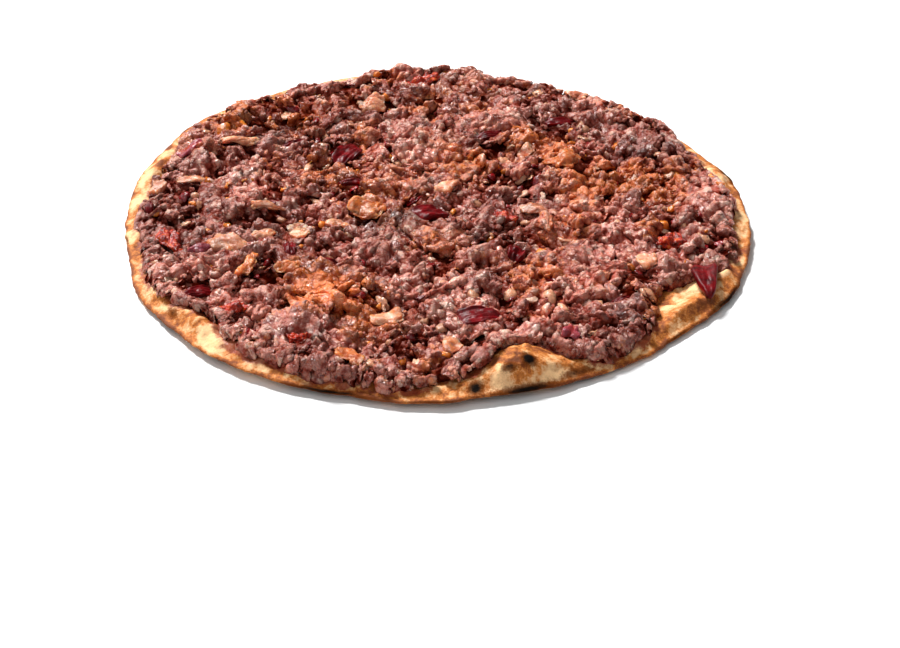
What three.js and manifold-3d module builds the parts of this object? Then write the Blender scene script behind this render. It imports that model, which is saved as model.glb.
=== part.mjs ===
// A lahmacun: a thin round flatbread with a puffed, wavy rim, a spread of cooked minced meat over nearly
// all of its top, and pieces of pepper, tomato and onion lying half sunk in the meat.
// Millimetres, +Z up. The origin is on the table, under the middle of the bread's box.
import * as THREE from "three";
import { mergeVertices } from "three/addons/utils/BufferGeometryUtils.js";
import Module from "manifold-3d";

const wasm = await Module();
wasm.setup();

const MEAN_RADIUS = 140;
const CRUMB_THICKNESS = 3.2; // the bread's thickness under the meat
const EDGE_THICKNESS = 1.8; // the height of the bread's upright outer edge
const RIM_SWELL = 2.0; // how much thicker the bread gets at the crest of its rim
const RIM_CREST_IN = 7; // how far in from the edge that crest lies
const EDGE_ROUNDING = 8.0; // the distance over which the top rounds off to the upright edge
const LIFTED_BAND = 30; // the width of the outer band whose underside is off the table
const MEAN_LIFT = 1.9;
const MEAT_THICKNESS = 6.2;
const MEAT_EDGE_THICKNESS = 1.4;
const MEAT_TAPER = 15; // the distance over which the meat thins out towards its edge
const MEAT_SHARE_AT_EDGE = 0.25; // how far up that thinning the meat's edge already is
const BARE_RIM = 6.5; // the usual width of rim that the meat leaves bare
const GAP = 0.3; // clearance between touching pieces
const HOLLOW_GROWTH = 0.4; // how much wider a topping's hollow in the meat is, on each side
const SHORE = 2; // a topping nearer to the meat's edge than this lies on the bread
const DRAPE_ON_MEAT = 0.6; // the share of the meat's bumps that a topping on it follows
const RINGS = 13; // rings of facets from the middle of a layer to its edge
const BREAD_CROWDING = 1.6; // over 1, a layer's rings crowd towards its edge
const MEAT_CROWDING = 1.15;
const BALL_SIDES = 8;
const BALL_BANDS = 4;
const MERGE_DISTANCE = 1e-4;

const DEG = Math.PI / 180;
const BREAD_COLOUR = 0xe3b987;
const MEAT_COLOUR = 0x9a5d4c;
const PEPPER_COLOUR = 0x8a1f22;
const TOMATO_COLOUR = 0xb84a22;
const ONION_COLOUR = 0xd6a878;

// Waves round the rim: how many, how deep in mm, and the azimuth of a crest in degrees.
const OUTLINE_WAVES = [
  { lobes: 2, depth: 1.8, crest: -24 },
  { lobes: 3, depth: 2.5, crest: 3 },
  { lobes: 6, depth: 0.7, crest: -21 },
  { lobes: 11, depth: 0.6, crest: 8 },
  { lobes: 17, depth: 0.4, crest: 15 },
];
const LIFT_WAVES = [
  { lobes: 3, depth: 0.9, crest: 250 },
  { lobes: 5, depth: 0.6, crest: 290 },
  { lobes: 8, depth: 0.4, crest: 12 },
];
const SWELL_WAVES = [
  { lobes: 4, depth: 0.25, crest: 220 },
  { lobes: 9, depth: 0.3, crest: 287 },
  { lobes: 14, depth: 0.2, crest: 5 },
];
const MEAT_EDGE_WAVES = [
  { lobes: 7, depth: 1.1, crest: 40 },
  { lobes: 13, depth: 0.9, crest: 11 },
  { lobes: 22, depth: 0.9, crest: 3 },
];

// Blisters of the bread: azimuth, distance from the centre, size along and across the rim, and height.
const BLISTERS = [
  { azimuth: 287, out: 121, along: 18, across: 12, height: 9.6 },
  { azimuth: 221, out: 129, along: 12, across: 7, height: 3.4 },
  { azimuth: 232, out: 129, along: 9, across: 6, height: 2.6 },
  { azimuth: 248, out: 130, along: 10, across: 5, height: 2.4 },
  { azimuth: 180, out: 133, along: 10, across: 5, height: 2.2 },
  { azimuth: 161, out: 134, along: 12, across: 5, height: 2.4 },
  { azimuth: 120, out: 137, along: 14, across: 5, height: 1.8 },
  { azimuth: 15, out: 137, along: 9, across: 5, height: 2.6 },
  { azimuth: 325, out: 133, along: 12, across: 6, height: 2.8 },
];

// Places where the meat stays further in and leaves the dough bare: azimuth, half width in degrees, and
// extra width in mm, which is negative where the meat reaches further out than usual.
const BARE_PLACES = [
  { azimuth: 330, spread: 9, width: 18 },
  { azimuth: 289, spread: 8.5, width: 20 },
  { azimuth: 224, spread: 9, width: 4.5 },
  { azimuth: 164, spread: 14, width: 3.5 },
  { azimuth: 121, spread: 19, width: 4.5 },
  { azimuth: 15, spread: 5, width: 4 },
  { azimuth: 303, spread: 5, width: -5 },
  { azimuth: 255, spread: 12, width: -2 },
  { azimuth: 78, spread: 22, width: -3 },
];

// The heap's swells: wavelength and height in mm, direction and phase in degrees.
const HEAP_WAVES = [
  { length: 71, height: 0.7, direction: 20, phase: 40 },
  { length: 47, height: 0.8, direction: 100, phase: 200 },
  { length: 38, height: 0.8, direction: 155, phase: 10 },
  { length: 29, height: 0.7, direction: 60, phase: 130 },
  { length: 23, height: 0.6, direction: 125, phase: 300 },
  { length: 17, height: 0.5, direction: 5, phase: 70 },
];
// Mounds and hollows of the heap: azimuth, distance from the centre, radius, and height, which is
// negative in a hollow.
const MOUNDS = [
  { azimuth: 244, out: 84, radius: 15, height: 3.6 },
  { azimuth: 266, out: 104, radius: 12, height: 2.2 },
  { azimuth: 300, out: 106, radius: 14, height: 2.4 },
  { azimuth: 157, out: 120, radius: 10, height: 2.2 },
  { azimuth: 32, out: 68, radius: 14, height: 2.2 },
  { azimuth: 62, out: 126, radius: 11, height: 3.0 },
  { azimuth: 94, out: 126, radius: 8, height: 2.4 },
  { azimuth: 33, out: 126, radius: 9, height: 2.2 },
  { azimuth: 89, out: 103, radius: 9, height: -3.0 },
  { azimuth: 310, out: 28, radius: 8, height: -2.4 },
  { azimuth: 168, out: 90, radius: 9, height: -2.2 },
  { azimuth: 26, out: 98, radius: 8, height: -2.4 },
];

// Toppings the size of a berry or more. Each lies at an azimuth in degrees and a distance from the centre
// in mm, and is turned by an angle in degrees from the X axis. raise lifts it out of the meat's surface.
const PEPPERS = [
  { azimuth: 335, out: 131, length: 26, width: 15, thick: 2.4, turn: 92, raise: 1.6 },
  { azimuth: 283, out: 91, length: 19, width: 17, thick: 3.2, turn: 10, raise: 0.8 },
  { azimuth: 128, out: 64, length: 20, width: 15, thick: 2.6, turn: 60, raise: 0.8 },
  { azimuth: 138, out: 88, length: 15, width: 5, thick: 2.2, turn: 25, raise: 0.7 },
  { azimuth: 147, out: 45, length: 12, width: 5, thick: 2.4, turn: 8, raise: 0.4 },
  { azimuth: 255, out: 5, length: 15, width: 13, thick: 4.0, turn: 40, raise: 0.6 },
  { azimuth: 53, out: 100, length: 15, width: 7, thick: 3.0, turn: 5, raise: 0.6 },
  { azimuth: 68, out: 70, length: 17, width: 6, thick: 2.8, turn: 15, raise: 1.2 },
  { azimuth: 318, out: 109, length: 11, width: 7, thick: 3.4, turn: 20, raise: 0.2 },
  { azimuth: 316, out: 52, length: 12, width: 11, thick: 4.0, turn: 70, raise: 0.2 },
  { azimuth: 211, out: 72, length: 13, width: 6, thick: 4.6, turn: 100, raise: 1.2 },
  { azimuth: 223, out: 62, length: 11, width: 5, thick: 2.6, turn: 170, raise: 0.6 },
  { azimuth: 180, out: 127, length: 10, width: 5, thick: 6.0, turn: 95, raise: 1.4 },
  { azimuth: 214, out: 120, length: 13, width: 9, thick: 3.8, turn: 30, raise: 1.2 },
];
const TOMATOES = [
  { azimuth: 193, out: 118, length: 20, width: 10, thick: 6.5, turn: 110, raise: 0.8 },
  { azimuth: 346, out: 109, length: 16, width: 13, thick: 7.0, turn: 20, raise: 0.8 },
  { azimuth: 224, out: 116, length: 14, width: 8, thick: 4.5, turn: 150, raise: 0.6 },
  { azimuth: 92, out: 119, length: 16, width: 9, thick: 4.0, turn: 0, raise: 0.2 },
  { azimuth: 349, out: 33, length: 12, width: 6, thick: 4.0, turn: 150, raise: 0.6 },
  { azimuth: 242, out: 117, length: 11, width: 9, thick: 5.0, turn: 50, raise: 1.2 },
];
const ONIONS = [
  { azimuth: 200, out: 95, length: 18, width: 12, thick: 4.5, turn: 160, raise: 1.0 },
  { azimuth: 212, out: 93, length: 18, width: 7, thick: 4.5, turn: 75, raise: 1.2 },
  { azimuth: 220, out: 81, length: 11, width: 8, thick: 4.5, turn: 10, raise: 0.8 },
  { azimuth: 197, out: 77, length: 12, width: 8, thick: 4.5, turn: 25, raise: 0.8 },
  { azimuth: 199, out: 62, length: 13, width: 8, thick: 2.0, turn: 115, raise: 1.4 },
  { azimuth: 181, out: 74, length: 16, width: 6, thick: 4.0, turn: 8, raise: 0.6 },
  { azimuth: 147, out: 107, length: 20, width: 7, thick: 4.0, turn: 10, raise: 0.8 },
  { azimuth: 170, out: 128, length: 11, width: 7, thick: 5.0, turn: 80, raise: 0.8 },
  { azimuth: 168, out: 113, length: 15, width: 8, thick: 4.5, turn: 170, raise: 0.6 },
  { azimuth: 157, out: 123, length: 13, width: 9, thick: 5.5, turn: 175, raise: 1.2 },
  { azimuth: 200, out: 108, length: 9, width: 9, thick: 5.5, turn: 60, raise: 1.0 },
  { azimuth: 107, out: 99, length: 14, width: 11, thick: 5.0, turn: 20, raise: 0.6 },
  { azimuth: 181, out: 29, length: 17, width: 15, thick: 6.0, turn: 0, raise: 0.8 },
  { azimuth: 197, out: 43, length: 11, width: 6, thick: 4.0, turn: 160, raise: 0.8 },
  { azimuth: 68, out: 18, length: 11, width: 9, thick: 5.0, turn: 45, raise: 0.6 },
  { azimuth: 259, out: 91, length: 14, width: 11, thick: 3.4, turn: 10, raise: 1.2 },
  { azimuth: 275, out: 110, length: 12, width: 9, thick: 4.0, turn: 100, raise: 1.0 },
  { azimuth: 255, out: 123, length: 16, width: 9, thick: 4.5, turn: 120, raise: 0.8 },
  { azimuth: 300, out: 118, length: 11, width: 9, thick: 6.5, turn: 60, raise: 0.6 },
  { azimuth: 335, out: 104, length: 11, width: 8, thick: 4.0, turn: 120, raise: 0.6 },
  { azimuth: 56, out: 125, length: 11, width: 8, thick: 6.0, turn: 160, raise: 1.0 },
  { azimuth: 30, out: 70, length: 17, width: 14, thick: 6.5, turn: 40, raise: 1.0 },
  { azimuth: 49, out: 67, length: 13, width: 8, thick: 4.0, turn: 60, raise: 0.4 },
  { azimuth: 355, out: 46, length: 12, width: 9, thick: 5.0, turn: 0, raise: 0.8 },
];

const waveSum = (waves, azimuth) =>
  waves.reduce((sum, w) => sum + w.depth * Math.cos(w.lobes * (azimuth - w.crest * DEG)), 0);

const smoothstep = (t) => {
  const s = Math.min(1, Math.max(0, t));
  return s * s * (3 - 2 * s);
};

// The signed angle from one azimuth to another, between minus half a turn and half a turn.
const turnTo = (azimuth, other) =>
  Math.atan2(Math.sin(azimuth - other), Math.cos(azimuth - other));

const breadRadius = (azimuth) => MEAN_RADIUS + waveSum(OUTLINE_WAVES, azimuth);

// How far the rim is off the table at this azimuth.
const rimLift = (azimuth) => Math.max(0.3, MEAN_LIFT + waveSum(LIFT_WAVES, azimuth));

function breadUnderside(x, y) {
  const azimuth = Math.atan2(y, x);
  const inwards = breadRadius(azimuth) - Math.hypot(x, y);
  return rimLift(azimuth) * smoothstep(1 - inwards / LIFTED_BAND);
}

function blisterHeight(azimuth, out) {
  return BLISTERS.reduce((sum, b) => {
    const along = turnTo(azimuth, b.azimuth * DEG) * b.out;
    const across = out - b.out;
    return sum + b.height * Math.exp(-((along / b.along) ** 2) - (across / b.across) ** 2);
  }, 0);
}

function breadTop(x, y) {
  const azimuth = Math.atan2(y, x);
  const out = Math.hypot(x, y);
  const inwards = breadRadius(azimuth) - out;
  const crest = Math.exp(-(((inwards - RIM_CREST_IN) / RIM_CREST_IN) ** 2));
  const swell = RIM_SWELL * (1 + waveSum(SWELL_WAVES, azimuth)) * crest;
  const full = CRUMB_THICKNESS + swell + blisterHeight(azimuth, out);
  const rounding = smoothstep(inwards / EDGE_ROUNDING);
  return breadUnderside(x, y) + EDGE_THICKNESS + (full - EDGE_THICKNESS) * rounding;
}

function meatRadius(azimuth) {
  const bare = BARE_PLACES.reduce(
    (sum, p) => sum + p.width * Math.exp(-((turnTo(azimuth, p.azimuth * DEG) / (p.spread * DEG)) ** 2)),
    BARE_RIM,
  );
  return breadRadius(azimuth) - bare + waveSum(MEAT_EDGE_WAVES, azimuth);
}

// The meat's thickness over the bread: swells, mounds and hollows, thinned out towards its edge.
function meatThickness(x, y) {
  const azimuth = Math.atan2(y, x);
  const inwards = meatRadius(azimuth) - Math.hypot(x, y);
  let thick = MEAT_THICKNESS;
  for (const w of HEAP_WAVES) {
    const along = x * Math.cos(w.direction * DEG) + y * Math.sin(w.direction * DEG);
    thick += w.height * Math.cos((2 * Math.PI * along) / w.length + w.phase * DEG);
  }
  for (const m of MOUNDS) {
    const away = Math.hypot(x - m.out * Math.cos(m.azimuth * DEG), y - m.out * Math.sin(m.azimuth * DEG));
    thick += m.height * Math.exp(-((away / m.radius) ** 2));
  }
  const share = smoothstep(MEAT_SHARE_AT_EDGE + ((1 - MEAT_SHARE_AT_EDGE) * inwards) / MEAT_TAPER);
  return MEAT_EDGE_THICKNESS + (thick - MEAT_EDGE_THICKNESS) * share;
}

const meatTop = (x, y) => breadTop(x, y) + meatThickness(x, y);

// A round layer as a closed solid. Its top is a disc of facets, whose rings have six more points each than
// the ring inside them. A wall joins it to its underside, which is a few bands and a flat middle.
function roundLayer({ radiusAt, topAt, undersideAt, crowding, bands }) {
  const points = [];
  const faces = [];
  const addPoint = (azimuth, share, heightAt) => {
    const x = radiusAt(azimuth) * share * Math.cos(azimuth);
    const y = radiusAt(azimuth) * share * Math.sin(azimuth);
    points.push(x, y, heightAt(x, y));
    return points.length / 3 - 1;
  };
  const addRing = (count, share, heightAt) =>
    Array.from({ length: count }, (_, i) => addPoint((2 * Math.PI * i) / count, share, heightAt));
  const joinRings = (outer, inner) =>
    outer.forEach((a, i) => {
      const next = (i + 1) % outer.length;
      faces.push(a, inner[i], outer[next], outer[next], inner[i], inner[next]);
    });

  let inner = [addPoint(0, 0, topAt)];
  for (let ring = 1; ring <= RINGS; ring += 1) {
    const outer = addRing(6 * ring, 1 - (1 - ring / RINGS) ** crowding, topAt);
    for (let sixth = 0; sixth < 6; sixth += 1) {
      for (let i = 0; i < ring; i += 1) {
        const a = outer[sixth * ring + i];
        const b = outer[(sixth * ring + i + 1) % outer.length];
        const c = inner[(sixth * (ring - 1) + i) % inner.length];
        faces.push(a, b, c);
        if (i < ring - 1) faces.push(c, b, inner[(sixth * (ring - 1) + i + 1) % inner.length]);
      }
    }
    inner = outer;
  }
  for (const share of bands) {
    const below = addRing(inner.length, share, undersideAt);
    joinRings(inner, below);
    inner = below;
  }
  const middle = addPoint(0, 0, undersideAt);
  inner.forEach((a, i) => faces.push(a, middle, inner[(i + 1) % inner.length]));

  const geometry = new THREE.BufferGeometry();
  geometry.setAttribute("position", new THREE.Float32BufferAttribute(points, 3));
  geometry.setIndex(faces);
  return geometry;
}

// A topping starts as a ball of few facets, its poles on Z, whose points a form moves. u, v and w are the
// ball's coordinates, from -1 to 1.
function formedBall(form) {
  const geometry = new THREE.SphereGeometry(1, BALL_SIDES, BALL_BANDS).rotateX(Math.PI / 2);
  geometry.deleteAttribute("normal");
  geometry.deleteAttribute("uv");
  const ball = mergeVertices(geometry, MERGE_DISTANCE);
  const position = ball.getAttribute("position");
  for (let i = 0; i < position.count; i += 1) {
    position.setXYZ(i, ...form(position.getX(i), position.getY(i), position.getZ(i)));
  }
  return ball;
}

// Pushes a ball's coordinate outwards, so that the section gets squarer.
const squarer = (t, power) => Math.sign(t) * Math.abs(t) ** power;

// A piece of pepper: a flat sheet with square ends, curled along its length and rippled.
const pepperForm = ({ length, width, thick }, index) => (u, v, w) => {
  const x = squarer(u, 0.8);
  const y = squarer(v, 0.8) * (1 - 0.22 * Math.sin(2 * u + index));
  const curl = 0.09 * width * y * y - 0.05 * length * x * x;
  const ripple = 0.16 * thick * Math.sin(3.1 * x + 1.7 * index);
  return [(x * length) / 2, (y * width) / 2, (squarer(w, 0.7) * thick) / 2 + curl + ripple];
};

// A piece of tomato: a soft lump, dented here and there.
const tomatoForm = ({ length, width, thick }, index) => (u, v, w) => {
  const dent = 1 + 0.13 * Math.sin(4 * u + 2 * index) * Math.cos(3 * v + index);
  return [(u * dent * length) / 2, (v * dent * width) / 2, (w * (2 - dent) * thick) / 2];
};

// A piece of onion: a petal, narrower at one end and arched over its length.
const onionForm = ({ length, width, thick }, index) => (u, v, w) => {
  const taper = 1 - (0.2 + 0.06 * (index % 3)) * u;
  const arch = 0.1 * length * (0.5 - u * u) + 0.05 * width * (0.5 - v * v);
  return [(u * length) / 2, (v * taper * width) / 2, (squarer(w, 0.85) * thick) / 2 + arch];
};

const materialOf = (color, roughness) =>
  new THREE.MeshStandardMaterial({ color, roughness, metalness: 0 });

// Lays a topping on the meat, or on the bread where no meat is under it. The piece is soft, so it follows
// the surface it lies on. A grown copy, which hollows out the meat, stays in the place of its own piece.
function layTopping(name, topping, form, index, material, grown = 0, restHeight = null) {
  const sizes = {
    length: topping.length + 2 * grown,
    width: topping.width + 2 * grown,
    thick: topping.thick + 2 * grown,
  };
  const x = topping.out * Math.cos(topping.azimuth * DEG);
  const y = topping.out * Math.sin(topping.azimuth * DEG);
  const onMeat = topping.out < meatRadius(topping.azimuth * DEG) - SHORE;
  const surfaceAt = onMeat ? meatTop : breadTop;
  const mesh = new THREE.Mesh(formedBall(form(sizes, index)), material);
  mesh.name = name;
  const sunk = onMeat ? topping.thick / 4 : -topping.thick / 2;
  mesh.position.set(x, y, surfaceAt(x, y) + topping.raise - sunk);
  mesh.rotation.z = topping.turn * DEG;
  drape(mesh, surfaceAt, onMeat ? DRAPE_ON_MEAT : 1);
  mesh.position.z = restHeight ?? mesh.position.z + liftOffBread(mesh);
  return mesh;
}

// Calls visit with each point of a placed mesh, in the part's frame.
function eachPoint(mesh, visit) {
  mesh.updateMatrixWorld();
  const position = mesh.geometry.getAttribute("position");
  const point = new THREE.Vector3();
  for (let i = 0; i < position.count; i += 1) {
    visit(point.fromBufferAttribute(position, i).applyMatrix4(mesh.matrixWorld), i);
  }
}

// Moves each point up or down by a share of what the surface rises or falls from under the mesh's middle
// to under the point.
function drape(mesh, surfaceAt, share) {
  const position = mesh.geometry.getAttribute("position");
  const middle = surfaceAt(mesh.position.x, mesh.position.y);
  eachPoint(mesh, (point, i) => {
    position.setZ(i, position.getZ(i) + share * (surfaceAt(point.x, point.y) - middle));
  });
}

// How far a placed mesh has to go up to stand clear of the bread.
function liftOffBread(mesh) {
  let lift = 0;
  eachPoint(mesh, (point) => {
    lift = Math.max(lift, breadTop(point.x, point.y) + 2 * GAP - point.z);
  });
  return lift;
}

// A mesh's geometry where it stands, as a manifold-3d solid.
function solidOf(mesh) {
  mesh.updateMatrixWorld();
  const merged = mergeVertices(mesh.geometry.clone().applyMatrix4(mesh.matrixWorld), MERGE_DISTANCE);
  return new wasm.Manifold(
    new wasm.Mesh({
      numProp: 3,
      vertProperties: merged.getAttribute("position").array,
      triVerts: new Uint32Array(merged.index.array),
    }),
  );
}

function geometryOf(solid) {
  const { vertProperties, triVerts } = solid.getMesh();
  const geometry = new THREE.BufferGeometry();
  geometry.setAttribute("position", new THREE.BufferAttribute(vertProperties, 3));
  geometry.setIndex(new THREE.BufferAttribute(triVerts, 1));
  return geometry;
}

function makeBread() {
  const geometry = roundLayer({
    radiusAt: breadRadius,
    topAt: breadTop,
    undersideAt: breadUnderside,
    crowding: BREAD_CROWDING,
    bands: [1, 0.93, 0.85, 0.77],
  });
  const bread = new THREE.Mesh(geometry, materialOf(BREAD_COLOUR, 0.8));
  bread.name = "bread";
  return bread;
}

// The spread of meat: cut to the bread's top, and hollowed where a topping is sunk in it.
function makeMeat(bread, hollows) {
  const sunkInBread = () => CRUMB_THICKNESS / 2;
  const blank = new THREE.Mesh(
    roundLayer({
      radiusAt: meatRadius,
      topAt: meatTop,
      undersideAt: sunkInBread,
      crowding: MEAT_CROWDING,
      bands: [1],
    }),
  );
  let solid = solidOf(blank).subtract(solidOf(bread).translate(0, 0, GAP));
  for (const hollow of hollows) solid = solid.subtract(solidOf(hollow));
  const largest = solid.decompose().reduce((a, b) => (a.volume() > b.volume() ? a : b));
  const meat = new THREE.Mesh(geometryOf(largest), materialOf(MEAT_COLOUR, 0.55));
  meat.name = "meat";
  return meat;
}

function makeLahmacun() {
  const kinds = [
    { name: "pepper", pieces: PEPPERS, form: pepperForm, material: materialOf(PEPPER_COLOUR, 0.35) },
    { name: "tomato", pieces: TOMATOES, form: tomatoForm, material: materialOf(TOMATO_COLOUR, 0.4) },
    { name: "onion", pieces: ONIONS, form: onionForm, material: materialOf(ONION_COLOUR, 0.35) },
  ];
  const bread = makeBread();
  const toppings = new THREE.Group();
  const hollows = [];
  for (const kind of kinds) {
    kind.pieces.forEach((piece, index) => {
      const name = `${kind.name}_${index + 1}`;
      const topping = layTopping(name, piece, kind.form, index, kind.material);
      const { z } = topping.position;
      toppings.add(topping);
      hollows.push(layTopping(name, piece, kind.form, index, kind.material, HOLLOW_GROWTH, z));
    });
  }
  const lahmacun = new THREE.Group();
  const middle = new THREE.Box3().setFromObject(bread).getCenter(new THREE.Vector3());
  lahmacun.add(bread, makeMeat(bread, hollows), toppings);
  lahmacun.position.set(-middle.x, -middle.y, 0);
  return lahmacun;
}

export default makeLahmacun();
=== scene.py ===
"""A lahmacun: a thin flatbread with a blistered rim under cooked minced meat, pepper, tomato and onion.

Shapes are worked out in millimetres, round the bread's own centre, and go into Blender in metres.
"""

import math

import bpy
import numpy as np
from bpy.props import FloatProperty, FloatVectorProperty, PointerProperty
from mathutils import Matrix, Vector


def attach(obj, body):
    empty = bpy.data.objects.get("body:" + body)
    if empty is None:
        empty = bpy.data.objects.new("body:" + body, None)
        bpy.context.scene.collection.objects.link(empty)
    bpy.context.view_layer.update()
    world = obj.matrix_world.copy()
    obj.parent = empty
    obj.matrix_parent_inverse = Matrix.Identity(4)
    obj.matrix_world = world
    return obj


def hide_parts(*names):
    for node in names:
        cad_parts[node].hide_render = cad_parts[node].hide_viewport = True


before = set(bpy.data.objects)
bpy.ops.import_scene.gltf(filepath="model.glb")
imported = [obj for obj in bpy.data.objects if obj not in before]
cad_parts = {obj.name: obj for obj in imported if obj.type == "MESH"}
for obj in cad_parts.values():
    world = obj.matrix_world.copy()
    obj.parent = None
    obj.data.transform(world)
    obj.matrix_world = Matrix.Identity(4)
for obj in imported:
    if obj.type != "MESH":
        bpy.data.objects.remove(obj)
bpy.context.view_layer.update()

bl_info = {
    "name": "Lahmacun",
    "version": (1, 0, 0),
    "blender": (4, 5, 0),
    "location": "3D View > Sidebar > Lahmacun",
    "description": "Adds a lahmacun, piece by piece, and a studio to look at it in",
    "category": "Add Mesh",
}

MM = 0.001
BODY = "root"

# ---------------------------------------------------------------------------------------------------------
# The bread and the heap of meat, as the CAD model has them (mm, degrees)
# ---------------------------------------------------------------------------------------------------------

MEAN_RADIUS = 140
CRUMB_THICKNESS = 3.2
EDGE_THICKNESS = 1.8
RIM_SWELL = 2.0
RIM_CREST_IN = 7
EDGE_ROUNDING = 8.0
LIFTED_BAND = 30
MEAN_LIFT = 1.9
LEAST_LIFT = 0.3
MEAT_THICKNESS = 6.2
MEAT_EDGE_THICKNESS = 1.4
MEAT_TAPER = 15
MEAT_SHARE_AT_EDGE = 0.25
BARE_RIM = 6.5
OUTLINE_POINTS = 720

# Waves round the rim: how many, how deep, and the azimuth of a crest.
OUTLINE_WAVES = ((2, 1.8, -24), (3, 2.5, 3), (6, 0.7, -21), (11, 0.6, 8), (17, 0.4, 15))
LIFT_WAVES = ((3, 0.9, 250), (5, 0.6, 290), (8, 0.4, 12))
SWELL_WAVES = ((4, 0.25, 220), (9, 0.3, 287), (14, 0.2, 5))
MEAT_EDGE_WAVES = ((7, 1.1, 40), (13, 0.9, 11), (22, 0.9, 3))

# Blisters of the bread: azimuth, distance from the centre, size along and across the rim, height.
BLISTERS = (
    (287, 121, 18, 12, 9.6),
    (221, 129, 12, 7, 3.4),
    (232, 129, 9, 6, 2.6),
    (248, 130, 10, 5, 2.4),
    (180, 133, 10, 5, 2.2),
    (161, 134, 12, 5, 2.4),
    (120, 137, 14, 5, 1.8),
    (15, 137, 9, 5, 2.6),
    (325, 133, 12, 6, 2.8),
)
# Places that the meat leaves bare: azimuth, half width in degrees, extra width.
BARE_PLACES = (
    (330, 9, 18),
    (289, 8.5, 20),
    (224, 9, 4.5),
    (164, 14, 3.5),
    (121, 19, 4.5),
    (15, 5, 4),
    (303, 5, -5),
    (255, 12, -2),
    (78, 22, -3),
)
# The heap's swells: wavelength, height, direction, phase.
HEAP_WAVES = (
    (71, 0.7, 20, 40),
    (47, 0.8, 100, 200),
    (38, 0.8, 155, 10),
    (29, 0.7, 60, 130),
    (23, 0.6, 125, 300),
    (17, 0.5, 5, 70),
)
# Its mounds and hollows: azimuth, distance from the centre, radius, height.
MOUNDS = (
    (244, 84, 15, 3.6),
    (266, 104, 12, 2.2),
    (300, 106, 14, 2.4),
    (157, 120, 10, 2.2),
    (32, 68, 14, 2.2),
    (62, 126, 11, 3.0),
    (94, 126, 8, 2.4),
    (33, 126, 9, 2.2),
    (89, 103, 9, -3.0),
    (310, 28, 8, -2.4),
    (168, 90, 9, -2.2),
    (26, 98, 8, -2.4),
)


def smoothstep(t):
    """3 t^2 - 2 t^3, with t held between 0 and 1."""
    t = np.clip(t, 0, 1)
    return t * t * (3 - 2 * t)


def bell(*away):
    """The bell curve exp(-(a^2 + b^2 + ...)) of distances given as shares of its width."""
    return np.exp(-sum(share**2 for share in away))


def placed(degrees, out):
    """x and y of the place this far from the bread's centre at this azimuth."""
    angle = math.radians(degrees)
    return out * math.cos(angle), out * math.sin(angle)


def distance_to(x, y, degrees, out):
    """How far each place is from the one this far from the centre at this azimuth."""
    place_x, place_y = placed(degrees, out)
    return np.hypot(x - place_x, y - place_y)


def turn_to(azimuth, degrees):
    """The signed angle from an azimuth given in degrees, between minus half a turn and half a turn."""
    return (azimuth - math.radians(degrees) + math.pi) % (2 * math.pi) - math.pi


def squarer(t, power):
    """t pushed outwards, so that a round section gets squarer."""
    return np.sign(t) * np.abs(t) ** power


def wave_sum(waves, azimuth):
    """The sum of each wave's depth times the cosine of lobes times the angle from its crest."""
    return sum(depth * np.cos(lobes * (azimuth - math.radians(crest))) for lobes, depth, crest in waves)


def bread_radius(azimuth):
    """The mean radius plus the outline's waves."""
    return MEAN_RADIUS + wave_sum(OUTLINE_WAVES, azimuth)


def bread_underside(x, y):
    """Zero in the middle; towards the edge it rises by a smoothstep to the rim's lift at that azimuth."""
    azimuth = np.arctan2(y, x)
    lift = np.maximum(LEAST_LIFT, MEAN_LIFT + wave_sum(LIFT_WAVES, azimuth))
    inwards = bread_radius(azimuth) - np.hypot(x, y)
    return lift * smoothstep(1 - inwards / LIFTED_BAND)


def blister_height(azimuth, out):
    """The sum of a bell curve for each blister, as wide along and across the rim as its sizes say."""
    return sum(
        height * bell(turn_to(azimuth, at) * middle / along, (out - middle) / across)
        for at, middle, along, across, height in BLISTERS
    )


def bread_top(x, y):
    """The underside plus the thickness: crumb, bell-shaped rim and blisters, rounded off at the edge."""
    azimuth = np.arctan2(y, x)
    out = np.hypot(x, y)
    inwards = bread_radius(azimuth) - out
    crest = bell((inwards - RIM_CREST_IN) / RIM_CREST_IN)
    swell = RIM_SWELL * (1 + wave_sum(SWELL_WAVES, azimuth)) * crest
    full = CRUMB_THICKNESS + swell + blister_height(azimuth, out)
    rounding = smoothstep(inwards / EDGE_ROUNDING)
    return bread_underside(x, y) + EDGE_THICKNESS + (full - EDGE_THICKNESS) * rounding


def meat_radius(azimuth):
    """The bread's radius less the bare rim, wider by a bell curve at each bare place, plus waves."""
    bare = BARE_RIM + sum(
        width * bell(turn_to(azimuth, at) / math.radians(spread)) for at, spread, width in BARE_PLACES
    )
    return bread_radius(azimuth) - bare + wave_sum(MEAT_EDGE_WAVES, azimuth)


def meat_thickness(x, y):
    """A plain thickness plus cosine swells and bell-shaped mounds, thinned out towards the meat's edge."""
    azimuth = np.arctan2(y, x)
    thick = MEAT_THICKNESS
    for length, height, direction, phase in HEAP_WAVES:
        along = x * math.cos(math.radians(direction)) + y * math.sin(math.radians(direction))
        thick = thick + height * np.cos(2 * math.pi * along / length + math.radians(phase))
    for at, out, radius, height in MOUNDS:
        thick = thick + height * bell(distance_to(x, y, at, out) / radius)
    inwards = meat_radius(azimuth) - np.hypot(x, y)
    share = smoothstep(MEAT_SHARE_AT_EDGE + (1 - MEAT_SHARE_AT_EDGE) * inwards / MEAT_TAPER)
    return MEAT_EDGE_THICKNESS + (thick - MEAT_EDGE_THICKNESS) * share


def meat_top(x, y):
    """The bread's top plus the meat's thickness."""
    return bread_top(x, y) + meat_thickness(x, y)


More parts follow.
